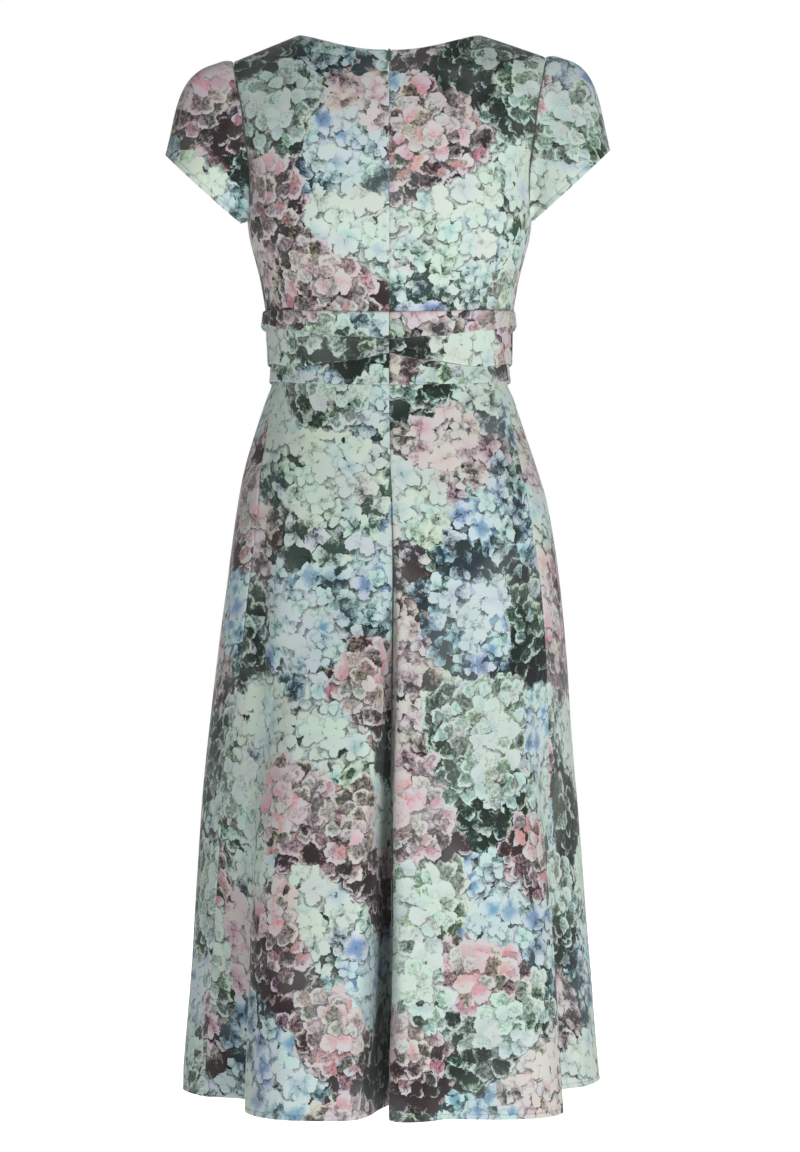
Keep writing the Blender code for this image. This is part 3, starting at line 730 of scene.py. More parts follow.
class NodeSet:
    """A node tree that is built by calls."""

    def __init__(self, tree: bpy.types.NodeTree) -> None:
        """Remember the tree."""
        self.tree = tree

    def put(self, socket: bpy.types.NodeSocket, value: object) -> None:
        """Link a wire to a socket, or set the socket's value.

        Args:
            socket: the socket.
            value: the wire or the value.
        """
        if isinstance(value, Wire):
            self.tree.links.new(value.socket, socket)
        else:
            socket.default_value = value

    def add(self, kind: str, settings: dict[str, object] | None = None,
            inputs: dict[str | int, object] | Sequence[object] = ()) -> Outputs:
        """Add a node.

        Args:
            kind: its type's name.
            settings: its settings, with a ramp's "stops" (places and colours) and "interpolation".
            inputs: values or wires, by input name or place.

        Returns:
            Its outputs.
        """
        node = self.tree.nodes.new(kind)
        for name, value in (settings or {}).items():
            if name == "stops":
                ramp = node.color_ramp.elements
                for place, colour in value[2:]:
                    ramp.new(place).color = (*colour, 1)
                for stop, (place, colour) in zip((ramp[0], ramp[-1]), (value[0], value[1])):
                    stop.position, stop.color = place, (*colour, 1)
            elif name == "interpolation":
                node.color_ramp.interpolation = value
            else:
                setattr(node, name, value)
        pairs = inputs.items() if isinstance(inputs, dict) else enumerate(inputs)
        for key, value in pairs:
            self.put(node.inputs[key], value)
        return Outputs(self, node)

    def vector(self, operation: str, *values: object) -> Wire:
        """Return a Vector Math node's result."""
        return self.add("ShaderNodeVectorMath", {"operation": operation}, values)[0]

    def parts(self, vector: Wire) -> tuple[Wire, Wire, Wire]:
        """Return a vector's three numbers."""
        split = self.add("ShaderNodeSeparateXYZ", inputs=(vector,))
        return split[0], split[1], split[2]

    def mix(self, share: Wire | float, one: object, two: object, blend: str = "MIX") -> Wire:
        """Return two colours mixed."""
        kind = {"data_type": "RGBA", "blend_type": blend, "clamp_result": True}
        return self.add("ShaderNodeMix", kind, {0: share, 6: one, 7: two})[2]

    def noise(self, place: Wire, scale: float, detail: float = 2.0, roughness: float = 0.5,
              dimensions: str = "2D") -> Outputs:
        """Return a noise on the flat cloth or in space, at a scale of so many to the metre."""
        return self.add("ShaderNodeTexNoise", {"noise_dimensions": dimensions},
                        {"Vector": place, "Scale": scale, "Detail": detail,
                         "Roughness": roughness})

    def cells(self, place: Wire, spacing: float) -> Outputs:
        """Return the uneven cells of a plane, at a spacing in metres."""
        return self.add("ShaderNodeTexVoronoi", {"voronoi_dimensions": "2D"},
                        {"Vector": place, "Scale": 1 / spacing, "Randomness": 0.9})

    def turned(self, vector: Wire, angle: Wire) -> Wire:
        """Return a vector turned round the Z axis."""
        return self.add("ShaderNodeVectorRotate", {"rotation_type": "Z_AXIS"},
                        {"Vector": vector, "Angle": angle})[0]

    def steps(self, where: Wire, values: Sequence[tuple[float, Colour]]) -> Wire:
        """Return a colour that changes in steps, from where each starts and its colour."""
        order = [values[0], values[-1], *values[1:-1]]
        return self.add("ShaderNodeValToRGB", {"stops": order, "interpolation": "CONSTANT"},
                        (where,))[0]

    def bump(self, height: Wire, strength: float, distance: float) -> Wire:
        """Return the normals of a surface with a relief, whose depth is in metres."""
        return self.add("ShaderNodeBump", inputs={"Strength": strength, "Distance": distance,
                                                  "Height": height})[0]

    def shade(self, sockets: dict[str, object]) -> None:
        """Fill sockets of the material's shader with wires or values."""
        shader = self.tree.nodes["Principled BSDF"]
        for name, value in sockets.items():
            self.put(shader.inputs[name], value)


def new_tree(kind: str, name: str, given: dict[str, str], made: dict[str, str]
             ) -> tuple[NodeSet, dict[str, str]]:
    """Make a node group.

    Args:
        kind: its type's name.
        name: its name.
        given: its inputs' names and their sockets' types.
        made: its outputs' names and their sockets' types.

    Returns:
        Its nodes, and each socket's identifier by its name.
    """
    tree, keys = bpy.data.node_groups.new(name, kind), {}
    for way, sockets in (("INPUT", given), ("OUTPUT", made)):
        for socket, sort in sockets.items():
            keys[socket] = tree.interface.new_socket(
                socket, in_out=way, socket_type=f"NodeSocket{sort}").identifier
    return NodeSet(tree), keys


def new_finish(name: str) -> tuple[bpy.types.Material, NodeSet]:
    """Make a material that is built by calls.

    Args:
        name: its name.

    Returns:
        The material, and its nodes.
    """
    finish = bpy.data.materials.new(name)
    finish.use_nodes = True
    return finish, NodeSet(finish.node_tree)


def linear(red: float, green: float, blue: float) -> Colour:
    """Return a screen colour, with parts from 0 to 255 but none below 11, in linear light."""
    return tuple(((part / 255 + 0.055) / 1.055)**2.4 for part in (red, green, blue))


# ------------------------------------------------------------------ finishes

@dataclass(frozen=True)
class FlowerHead:
    """One kind of flower head in the print.

    Attributes:
        share: the share of heads of this kind.
        light: a petal's colour in full light.
        middle: its colour half lit.
        dark: its colour in shade.
        accent: the colour at the foot of some petals.
        accent_share: how strong that is.
        frill: how far its petals stand singly, dark with pale rims.
        lift: how much lighter the whole head is.
    """

    share: float
    light: Colour
    middle: Colour
    dark: Colour
    accent: Colour
    accent_share: float
    frill: float = 0.0
    lift: float = 0.0

    @property
    def numbers(self) -> Colour:
        """Return the lift, the frill and the accent's strength."""
        return (self.lift, self.frill, self.accent_share)


FLOWER_HEADS = (
    FlowerHead(0.15, linear(205, 221, 211), linear(182, 202, 192), linear(50, 71, 63),
               linear(142, 188, 196), 0.5, 0.0, 0.24),
    FlowerHead(0.14, linear(201, 219, 209), linear(143, 167, 155), linear(27, 43, 37),
               linear(96, 122, 108), 0.3, 1.0, 0.36),
    FlowerHead(0.19, linear(199, 217, 219), linear(146, 177, 184), linear(37, 55, 60),
               linear(84, 138, 178), 0.85, 0.0, 0.14),
    FlowerHead(0.21, linear(207, 200, 198), linear(153, 143, 143), linear(46, 36, 40),
               linear(212, 110, 102), 0.8, 1.0, 0.30),
    FlowerHead(0.12, linear(181, 201, 189), linear(80, 100, 91), linear(20, 32, 28),
               linear(110, 138, 122), 0.2, 1.0, 0.05),
    FlowerHead(0.19, linear(211, 206, 203), linear(174, 166, 166), linear(58, 50, 54),
               linear(212, 142, 134), 0.5, 0.0, 0.14),
)
DYE = 0.64                 # how much darker the dyes are than they look under the studio's lamps
SHADOW = (0.04, 0.055, 0.05, 1)                    # what a petal's shadow leaves of a colour
GROUND = (*linear(26, 38, 35), 1), (*linear(78, 100, 92), 1)
BLOOM, VEIL = (*linear(206, 214, 210), 1), (*linear(182, 192, 190), 1)
REVERSE = (*linear(150, 158, 153), 1)


@dataclass(frozen=True)
class PetalSpot:
    """What a layer of the print knows about the petals at a place.

    Attributes:
        offset: the place, from the floret's middle.
        chance: three numbers from 0 to 1 that differ from floret to floret.
        tint: the same numbers as a colour.
        base: how light the floret is as a whole.
        from_head: the floret's middle, from its flower head's.
        frill: whether the head's petals stand singly.
        accent_share: how strong the head's accent is.
        dyes: the head's dark, middle, light and accent colours.
    """

    offset: Wire
    chance: tuple[Wire, Wire, Wire]
    tint: Wire
    base: Wire
    from_head: Wire
    frill: Wire
    accent_share: Wire
    dyes: tuple[Wire, ...]


@dataclass(frozen=True)
class FlowerPrint:
    """A generic all-over print of flower heads, in overlapping layers of florets and petals.

    Some heads are made of four-petalled florets, and others of single ruffled petals with pale
    rims.  Lengths are in metres.

    Attributes:
        head: the spacing of the flower heads.
        floret: the spacing of the florets in a layer.
        ruffle: the spacing of the single petals in a layer.
        petal: how far a floret's petals reach.
        floret_layers: how many layers of florets there are.
        ruffle_layers: how many layers of single petals there are.
        wander: how unevenly the petals are drawn.
    """

    head: float = 0.093
    floret: float = 0.0275
    ruffle: float = 0.0165
    petal: float = 0.0175
    floret_layers: int = 4
    ruffle_layers: int = 5
    wander: float = 0.0055

    def kind_steps(self, name: str) -> list[tuple[float, Colour]]:
        """Share a number from 0 to 1 out among the kinds of head.

        Args:
            name: one of their properties.

        Returns:
            Where each kind starts, and its property.
        """
        start, steps = 0.0, []
        for kind in FLOWER_HEADS:
            steps.append((start, getattr(kind, name)))
            start += kind.share
        return steps

    def find_petals(self, nodes: NodeSet, given: Outputs, spacing: float) -> PetalSpot:
        """Find the floret or petal that lies nearest in a layer.

        Args:
            nodes: the layer's nodes.
            given: the layer's inputs.
            spacing: how far apart the layer's florets are.

        Returns:
            What is known about it.
        """
        # The faint pull of the colour beneath makes the renderer work the layers out in turn,
        # because it can't hold all of them at once.
        place = nodes.vector("MULTIPLY_ADD", given["Under"], (1e-9, 1e-9, 1e-9), given["Place"])
        cells = nodes.cells(nodes.vector("ADD", place, given["Shift"]), spacing)
        centre = nodes.vector("SUBTRACT", cells["Position"], given["Shift"])
        heads = nodes.cells(centre, self.head)
        kind, tilt, _ = nodes.parts(heads["Color"])
        from_head = nodes.vector("SUBTRACT", centre, heads["Position"])
        lift, frill, accent_share = nodes.parts(nodes.steps(kind, self.kind_steps("numbers")))
        base = (given["Level"] * 0.055 + lift + (0.42 - heads["Distance"]) * 0.9
                - nodes.parts(from_head)[1] * 4.0 + (tilt - 0.5) * 0.2 + 0.02)
        dyes = tuple(nodes.steps(kind, self.kind_steps(name))
                     for name in ("dark", "middle", "light", "accent"))
        return PetalSpot(nodes.vector("SUBTRACT", place, centre), nodes.parts(cells["Color"]),
                         cells["Color"], base, from_head, frill, accent_share, dyes)

    def paint(self, nodes: NodeSet, spot: PetalSpot, lit: Wire, foot: Wire) -> Wire:
        """Return a petal's colour.

        Args:
            nodes: the layer's nodes.
            spot: the petals at the place.
            lit: how light the petal is there.
            foot: how strong the accent is there.

        Returns:
            The colour.
        """
        dark, middle, light, accent = spot.dyes
        colour = nodes.mix(lit.smooth(-0.02, 0.40), dark, middle)
        colour = nodes.mix(lit.smooth(0.28, 0.62), colour, light)
        colour = nodes.mix(foot * lit.smooth(0.05, 0.5) * spot.accent_share, colour, accent)
        return nodes.mix(0.18, colour, spot.tint, "SOFT_LIGHT")

    def overlay(self, nodes: NodeSet, given: Outputs, spot: PetalSpot, edge: Wire,
                colour: Wire) -> Wire:
        """Lay petals and their shadows over the colour beneath.

        Args:
            nodes: the layer's nodes.
            given: the layer's inputs.
            spot: the petals at the place.
            edge: how near the place is to a petal's edge, which is at 1.
            colour: the petal's colour there.

        Returns:
            The colour of the whole.
        """
        below = nodes.parts(spot.offset)[1] / self.petal
        shade = edge.smooth(1.7, 0.95) * (below.smooth(-0.7, 0.7) * 0.66 + 0.16)
        shade = shade * given["Rough"].smooth(0.22, 0.52)
        under = nodes.mix(shade, given["Under"], SHADOW, "MULTIPLY")
        return nodes.mix(edge.smooth(1.0, 0.93), under, colour)

    def floret_colour(self, nodes: NodeSet, given: Outputs) -> Wire:
        """Draw a layer of four-petalled florets over the colour beneath.

        Args:
            nodes: the layer's nodes.
            given: the layer's inputs.

        Returns:
            The colour of the whole.
        """
        spot, rough = self.find_petals(nodes, given, self.floret), given["Rough"]
        size, turn, luck = spot.chance
        turned = nodes.turned(spot.offset, turn * (2 * math.pi))
        x, y, _ = nodes.parts(turned)
        reach = nodes.add("ShaderNodeVectorMath", {"operation": "LENGTH"}, (turned,))["Value"]
        reach = reach / (size * (0.78 * self.petal) + 0.60 * self.petal)
        angle = y.call("ARCTAN2", x) + math.pi / 4
        quarter = (angle / (math.pi / 2)).call("FLOOR")
        folded = angle - quarter * (math.pi / 2) - math.pi / 4
        along, aside = reach * folded.call("COSINE"), reach * folded.call("SINE")
        petal = nodes.add("ShaderNodeTexWhiteNoise", {"noise_dimensions": "1D"},
                          {"W": quarter * 7.31 + luck * 91.7})["Value"]
        far = (along - 0.54) / (petal * 0.18 + 0.41)
        wide = (aside + (petal - 0.5) * 0.14) / 0.44
        edge = (far * far + wide * wide).call("SQRT")
        lit = (spot.base + along.smooth(0.05, 0.8) * 0.42 - wide.smooth(-0.3, 1.1) * 0.24
               + (petal - 0.5) * 0.72 + (rough - 0.5) * 1.3 + edge.smooth(0.72, 0.98) * 0.14 - 0.02)
        foot = (1 - along.smooth(0.10, 0.66)) * luck.smooth(0.52, 0.85)
        return self.overlay(nodes, given, spot, edge, self.paint(nodes, spot, lit, foot))

    def ruffle_colour(self, nodes: NodeSet, given: Outputs) -> Wire:
        """Draw a layer of single ruffled petals over the colour beneath.

        Args:
            nodes: the layer's nodes.
            given: the layer's inputs.

        Returns:
            The colour of the whole.
        """
        spot, rough = self.find_petals(nodes, given, self.ruffle), given["Rough"]
        size, turn, luck = spot.chance
        x, y, _ = nodes.parts(spot.from_head)
        outward = y.call("ARCTAN2", x) + (turn - 0.5) * 2.4
        along, aside, _ = nodes.parts(nodes.turned(spot.offset, outward * -1.0))
        reach = size * (0.36 * self.petal) + 0.38 * self.petal
        along, aside = along / reach, aside / (reach * 1.15)
        far = along + aside * aside * 0.45 + (rough - 0.5) * 0.5
        edge = (far * far + aside * aside).call("SQRT")
        rim = edge.smooth(0.25, 0.98) * along.smooth(-0.4, 0.5)
        lit = spot.base * 0.9 + rim * 0.66 - 0.18 + (luck - 0.5) * 0.58 + (rough - 0.5) * 1.5
        foot = along.smooth(0.45, -0.5) * rough.smooth(0.35, 0.6) * luck.smooth(0.62, 0.9)
        edge = edge + (1 - spot.frill) * 9
        return self.overlay(nodes, given, spot, edge, self.paint(nodes, spot, lit, foot))

    @staticmethod
    def layer(name: str, draw: Callable[[NodeSet, Outputs], Wire]) -> bpy.types.NodeTree:
        """Return the group that lays one layer over the colour beneath.

        Args:
            name: the group's name.
            draw: adds the layer's nodes.

        Returns:
            The group.
        """
        nodes, _ = new_tree("ShaderNodeTree", name, {
            "Place": "Vector", "Shift": "Vector", "Under": "Color", "Rough": "Float",
            "Level": "Float"}, {"Colour": "Color"})
        nodes.add("NodeGroupOutput", inputs=(draw(nodes, nodes.add("NodeGroupInput")),))
        return nodes.tree

    def build(self) -> bpy.types.NodeTree:
        """Lay every layer of the print over its ground.

        Returns:
            The group that gives the printed colour at a place on the cloth.
        """
        florets = self.layer("floret_layer", self.floret_colour)
        ruffles = self.layer("ruffle_layer", self.ruffle_colour)
        nodes, _ = new_tree("ShaderNodeTree", "flower_print", {"Place": "Vector"},
                            {"Colour": "Color"})
        place = nodes.add("NodeGroupInput")["Place"]
        wander = nodes.vector("SUBTRACT", nodes.noise(place, 84, 4.0, 0.66)["Color"],
                              (0.5, 0.5, 0.5))
        uneven = nodes.vector("ADD", place, nodes.vector(
            "MULTIPLY", wander, (2 * self.wander, 2 * self.wander, 0)))
        streaks = nodes.noise(uneven, 250, 5.0, 0.80)["Fac"]
        colour = nodes.mix(streaks.smooth(0.35, 0.7), *GROUND)
        order = [florets] * self.floret_layers + [ruffles] * self.ruffle_layers
        for level, group in enumerate(order):
            above = level - (self.floret_layers if group is ruffles else 0)
            colour = nodes.add("ShaderNodeGroup", {"node_tree": group}, {
                "Place": uneven, "Shift": (0.37 * level + 0.11, 0.53 * level + 0.29, 0.0),
                "Under": colour, "Rough": streaks, "Level": float(above)})[0]
        grain = nodes.noise(place, 900, 2.0, 0.7)["Fac"]
        colour = nodes.mix((grain - 0.5) * 0.6 + 0.10, colour, BLOOM, "SOFT_LIGHT")
        veil = nodes.noise(place, 11, 2.0)["Fac"].smooth(0.40, 0.75)
        colour = nodes.mix(veil * 0.14, colour, VEIL)
        colour = nodes.mix(1.0, colour, (DYE, DYE, DYE, 1), "MULTIPLY")
        nodes.add("NodeGroupOutput", inputs=(colour,))
        return nodes.tree


@dataclass(frozen=True)
class PrintedCrepe:
    """Matte woven crepe with the flower print on its face and a paler reverse.

    Attributes:
        name: the material's name.
        print: the group that gives the print's colour.
        reverse: whether this is the cloth's reverse.
        roughness: how matte it is.
    """

    name: str
    print: bpy.types.NodeTree
    reverse: bool = False
    roughness: float = 0.82

    def build(self) -> bpy.types.Material:
        """Join the print, the weave and the sheen.

        Returns:
            The material.
        """
        finish, nodes = new_finish(self.name)
        place = nodes.add("ShaderNodeUVMap", {"uv_map": "print_layout"})[0]
        colour = nodes.add("ShaderNodeGroup", {"node_tree": self.print}, (place,))[0]
        if self.reverse:
            colour = nodes.mix(0.60, colour, REVERSE)
        crepe = nodes.noise(place, 1900, 1.0)["Fac"]
        threads = nodes.add("ShaderNodeTexWave", {"wave_type": "BANDS", "bands_direction": "X"},
                            {"Vector": place, "Scale": 620.0, "Distortion": 2.0,
                             "Detail Scale": 2.0})["Fac"]
        nodes.shade({
            "Base Color": colour, "Roughness": self.roughness + (crepe - 0.5) * 0.12,
            "Normal": nodes.bump(crepe * 0.7 + threads * 0.3, 0.22, 0.00012),
            "Sheen Weight": 0.12, "Sheen Roughness": 0.45, "Specular IOR Level": 0.28})
        return finish


@dataclass(frozen=True)
class PlainFinish:
    """A plain coloured finish with fine grain, for thread, tape and enamelled metal.

    Attributes:
        name: the material's name.
        colour: its colour in linear light.
        roughness: how matte it is.
        metallic: whether it is bare metal.
        grain: its grain, so many to the metre.
        depth: the grain's depth in metres.
        coat: a clear coat's weight.
    """

    name: str
    colour: Colour
    roughness: float
    metallic: float = 0.0
    grain: float = 2500.0
    depth: float = 0.0001
    coat: float = 0.0

    def build(self) -> bpy.types.Material:
        """Join the colour, the grain and the wear.

        Returns:
            The material.
        """
        finish, nodes = new_finish(self.name)
        place = nodes.add("ShaderNodeTexCoord")["Object"]
        grain, wear = (nodes.noise(place, scale, dimensions="3D")["Fac"]
                       for scale in (self.grain, self.grain / 9))
        deep = tuple(0.62 * part for part in self.colour)
        nodes.shade({
            "Base Color": nodes.mix(grain.smooth(0.3, 0.7), (*deep, 1), (*self.colour, 1)),
            "Roughness": self.roughness + (wear - 0.5) * 0.25,
            "Normal": nodes.bump(grain, 0.3, self.depth),
            "Metallic": self.metallic, "Coat Weight": self.coat})
        return finish


@dataclass(frozen=True)
class StudioWhite:
    """The floor's pale finish, bright enough to meet the white surroundings."""

    name: str = "studio white"

    def build(self) -> bpy.types.Material:
        """Set the floor's colour and glow.

        Returns:
            The material.
        """
        finish, nodes = new_finish(self.name)
        nodes.shade({"Base Color": (0.94, 0.94, 0.94, 1), "Roughness": 0.9,
                     "Emission Color": (1, 1, 1, 1), "Emission Strength": 0.80})
        return finish


class Wardrobe:
    """The finishes that the pieces share."""

    def __init__(self) -> None:
        """Build each finish once."""
        flowers = FlowerPrint().build()
        self.face = PrintedCrepe("printed_crepe", flowers).build()
        self.reverse = PrintedCrepe("printed_crepe_reverse", flowers, reverse=True,
                                    roughness=0.9).build()
        self.thread = PlainFinish("sewing_thread", linear(104, 118, 112), 0.6, grain=5200).build()
        self.tape = PlainFinish("zip_tape_weave", linear(64, 92, 82), 0.85, grain=3000).build()
        self.coil = PlainFinish("zip_coil_nylon", linear(48, 84, 72), 0.42).build()
        self.enamel = PlainFinish("green_enamel", linear(66, 108, 92), 0.34, metallic=0.35,
                                  grain=700, depth=0.00004, coat=0.5).build()


# ------------------------------------------------------------------ sewing

def evaluated(item: bpy.types.Object) -> bpy.types.Mesh:
    """Return an object's mesh with its modifiers applied."""
    graph = bpy.context.evaluated_depsgraph_get()
    return bpy.data.meshes.new_from_object(item.evaluated_get(graph), depsgraph=graph)


def made_by_nodes(name: str, path: Array, shape: Callable[[NodeSet, Outputs], Wire],
                  sizes: dict[str, float], finish: bpy.types.Material) -> bpy.types.Object:
    """Repeat a shape along a path with Geometry Nodes, and turn it into a plain mesh.

    Args:
        name: the piece's name.
        path: the path's points.
        shape: adds the nodes that make the shape from the group's inputs.
        sizes: the group's sizes in metres, with "Pitch" for the spacing.
        finish: the piece's material.

    Returns:
        The finished piece.
    """
    line = bpy.data.meshes.new(name)
    line.from_pydata((path * MM).tolist(), [(i, i + 1) for i in range(len(path) - 1)], [])
    item = link(name, line)
    nodes, keys = new_tree("GeometryNodeTree", name,
                           {"Path": "Geometry", **dict.fromkeys(sizes, "Float")},
                           {"Piece": "Geometry"})
    given = nodes.add("NodeGroupInput")
    curve = nodes.add("GeometryNodeMeshToCurve", inputs=(given["Path"],))[0]
    curve = nodes.add("GeometryNodeResampleCurve", {"mode": "LENGTH"},
                      {"Curve": curve, "Length": given["Pitch"]})[0]
    turn = nodes.add("FunctionNodeAlignRotationToVector", {"axis": "Z"},
                     {"Vector": nodes.add("GeometryNodeInputTangent")[0]})[0]
    row = nodes.add("GeometryNodeInstanceOnPoints", inputs={
        "Points": curve, "Instance": shape(nodes, given), "Rotation": turn})[0]
    real = nodes.add("GeometryNodeRealizeInstances", inputs=(row,))[0]
    dressed = nodes.add("GeometryNodeSetMaterial", inputs={"Geometry": real,
                                                           "Material": finish})[0]
    nodes.add("NodeGroupOutput", inputs=(dressed,))
    change = item.modifiers.new(name, "NODES")
    change.node_group = nodes.tree
    for size, value in sizes.items():
        change[keys[size]] = value
    mesh = evaluated(item)
    item.modifiers.remove(change)
    item.data = mesh
    mesh.name = name
    return item


def one_stitch(nodes: NodeSet, given: Outputs) -> Wire:
    """Shape one short stitch, which is repeated along a hem.

    Args:
        nodes: the group's nodes.
        given: its inputs.

    Returns:
        The stitch.
    """
    stitch = nodes.add("GeometryNodeMeshUVSphere", inputs={
        "Segments": 6, "Rings": 5, "Radius": 1.0})[0]
    scale = nodes.add("ShaderNodeCombineXYZ", inputs=(
        given["Thread"], given["Thread"], given["Stitch"]))[0]
    return nodes.add("GeometryNodeTransform", inputs={"Geometry": stitch, "Scale": scale})[0]


def one_loop(nodes: NodeSet, given: Outputs) -> Wire:
    """Shape one slanting loop of a zip's coil, which is repeated along the zip.

    Args:
        nodes: the group's nodes.
        given: its inputs.

    Returns:
        The loop.
    """
    ring, thread = (nodes.add("GeometryNodeCurvePrimitiveCircle", inputs={
        "Resolution": sides, "Radius": given[radius]})[0]
        for sides, radius in ((10, "Loop"), (5, "Thread")))
    loop = nodes.add("GeometryNodeCurveToMesh", inputs={
        "Curve": ring, "Profile Curve": thread})[0]
    return nodes.add("GeometryNodeTransform", inputs={
        "Geometry": loop, "Scale": (1.7, 0.75, 1.0), "Rotation": (0.0, 0.22, 0.0)})[0]


def worn(piece: bpy.types.Object) -> bpy.types.Object:
    """Let a piece move with the dress.

    Args:
        piece: the piece.

    Returns:
        The same piece.
    """
    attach(piece, DRESS_BODY)
    return piece


def sewn_stitches(name: str, path: Array, sizes: dict[str, float],
                  wardrobe: Wardrobe) -> bpy.types.Object:
    """Return the stitches along a hem, as made_by_nodes makes them."""
    return worn(made_by_nodes(name, path, one_stitch, sizes, wardrobe.thread))


def dressed_panel(cloth: Cloth, wardrobe: Wardrobe, node: str, thickness: float) -> bpy.types.Object:
    """Turn a panel's grid into its finished piece, which stands for its solid.

    Args:
        cloth: the panel.
        wardrobe: the finishes.
        node: the solid that it stands for.
        thickness: how thick the cloth looks.

    Returns:
        The finished piece.
    """
    piece = link(cloth.name, panel_mesh(cloth), wardrobe.face, wardrobe.reverse)
    wall = piece.modifiers.new("Cloth thickness", "SOLIDIFY")
    wall.thickness, wall.offset = thickness * MM, -1
    wall.use_quality_normals = True
    wall.material_offset = 1
    return stand_for(worn(piece), node, cloth)


def stand_for(piece: bpy.types.Object, node: str, cloth: Cloth) -> bpy.types.Object:
    """Let a piece of cloth stand for its solid, which is hidden, and work out its panel's face areas.

    Args:
        piece: the finished piece.
        node: the solid that it stands for.
        cloth: its panel.

    Returns:
        The piece.
    """
    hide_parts(node)
    around = cloth.points
    if cloth.closed:
        around = np.concatenate((around, around[:, :1]), axis=1)
    corner = around[:-1, :-1]
    areas = np.linalg.norm(np.cross(around[1:, :-1] - corner, around[:-1, 1:] - corner), axis=2)
    return piece


# ------------------------------------------------------------------ sub-assemblies

@dataclass
class Bodice:
    """The two backs and the front.

    Attributes:
        wardrobe: the finishes.
        thickness: how thick the cloth looks.
        columns: how many even steps a back has from the zip to the side seam.
        rows: how many even steps it has from top to bottom.
        tuck: how far it reaches down behind the waistband.
        unevenness: how high its waves are.
    """

    wardrobe: Wardrobe
    thickness: float = 0.7
    columns: int = 62
    rows: int = 96
    tuck: float = 2.5
    unevenness: float = 0.34

    # Creases and darts on the flat layout of the left half: both ends, depth and width
    BACK_CREASES = (
        ((62, -78), (10, -96), 0.55, 9), ((66, -40), (22, -30), 0.5, 8),
        ((64, -112), (38, -150), 0.6, 8), ((-50, -24), (-8, -14), 0.45, 7),
        ((66, -62), (30, -60), -0.35, 10), ((-58, -180), (-20, -196), 0.4, 10),
    )
    DARTS = (
        ((168, -70), (108, -100), 0.7, 1.3), ((82, 6), (92, -78), 0.7, 1.3),
        ((140, -120), (100, -112), 0.5, 9), ((60, -30), (20, -44), 0.45, 9),
    )

    def half(self, side: Side) -> Array:
        """Return the grid from the centre to the left side seam.

        Args:
            side: the front or the back.

        Returns:
            The grid, before it is respaced.
        """
        neck = FORM.neck_share(side)
        share = np.concatenate((np.linspace(0, neck, 60), np.linspace(neck, 1, 41)[1:]))
        top = FORM.top_drop(share, side)
        foot = FORM.fold_edge(0, FORM.bodice_angle(share, BAND_TOP + 0 * share, side))
        foot = foot + self.tuck
        ease = np.linspace(0, 1, 81)[:, None]**ROW_EASE
        drops = np.concatenate((top + (UNDERARM - top) * ease,
                                UNDERARM + (foot - UNDERARM) * np.linspace(0, 1, 31)[1:, None]))
        grid = FORM.bodice(FORM.bodice_angle(share + 0 * drops, drops, side), drops)
        if side is Side.BACK:
            corner = np.clip(1 - (drops - BACK_NECK) / CORNER_DEPTH, 0, 1)
            inward = np.clip(1 - grid[..., 0] / CORNER_REACH, 0, 1)
            grid[..., 0] += CORNER_WIDTH * corner**1.3 * inward
        lift = SHOULDER_TRIM if side is Side.BACK else -SHOULDER_TRIM
        grid[0, share >= neck, 1] += lift
        return grid

    @staticmethod
    def press(cloth: Cloth, creases: Sequence[tuple], sign: int) -> None:
        """Press a table's creases into the left side of a panel (1) or the right (-1)."""
        for start, end, depth, width in creases:
            cloth.crease((sign * start[0], start[1]), (sign * end[0], end[1]), depth, width)

    def finished(self, cloth: Cloth, node: str) -> bpy.types.Object:
        """Roll the seams, turn the neckline and seam allowances under, and dress the panel.

        Args:
            cloth: the panel.
            node: the solid that it stands for.

        Returns:
            The finished piece.
        """
        cloth.roll(0.9, 3.2, *SEAMS)
        cloth.roll(0.5, 2.2, Border.TOP)
        cloth.refresh()
        for border in (*SEAMS, Border.TOP):
            cloth.turn_under(border, ALLOWANCE)
        return dressed_panel(cloth, self.wardrobe, node, self.thickness)

    @staticmethod
    def pucker_zip(cloth: Cloth, border: Border) -> None:
        """Draw the cloth up a little beside the zip, where it is sewn to the tape.

        Args:
            cloth: the panel.
            border: its border at the zip.
        """
        height, reach = 0.16, 7.0                  # of the puckers
        groove, seam, soft = 0.22, 8.5, 1.6        # the sewing line's depth, place and width
        away, down = cloth.from_border(border), cloth.layout[..., 1]
        waves = np.sin(down / 4.4 + 1.7 * np.sin(down / 23)) * (0.6 + 0.4 * np.sin(down / 31))
        cloth.push(height * waves * np.exp(-(away / reach)**2)
                   - groove * np.exp(-((away - seam) / soft)**2))

    def build(self) -> list[bpy.types.Object]:
        """Shape, crease and finish the panels.

        Returns:
            The three finished panels.
        """
        side_points = SEAM_POINTS[:-1]
        left = respaced(self.half(Side.BACK), self.columns, SEAM_POINTS, side_points)
        left = respaced_down(left, self.rows, NECK_POINTS, (0,))
        half = self.half(Side.FRONT)[:, ::-1]
        whole = respaced(np.concatenate((half, mirrored(half)[:, 1:]), axis=1),
                         2 * self.columns, side_points, side_points)
        whole = respaced_down(whole, self.rows, NECK_POINTS, (0,))
        pieces = []
        for node, grid, signs, creases, place, seed in (
                ("bodice_back_left", left, (1,), self.BACK_CREASES, (0.16, 0.62), 11),
                ("bodice_back_right", mirrored(left), (-1,), self.BACK_CREASES, (1.21, 0.35), 12),
                ("bodice_front", whole, (-1, 1), self.DARTS, (2.37, 0.8), 13)):
            cloth = Cloth(f"{node}_cloth", grid, hangs_from_top=False, print_place=place)
            cloth.ripple(seed, self.unevenness)
            for sign in signs:
                self.press(cloth, creases, sign)
            if creases is self.BACK_CREASES:
                self.pucker_zip(cloth, Border.START if signs == (1,) else Border.END)
            pieces.append(self.finished(cloth, node))
        return pieces


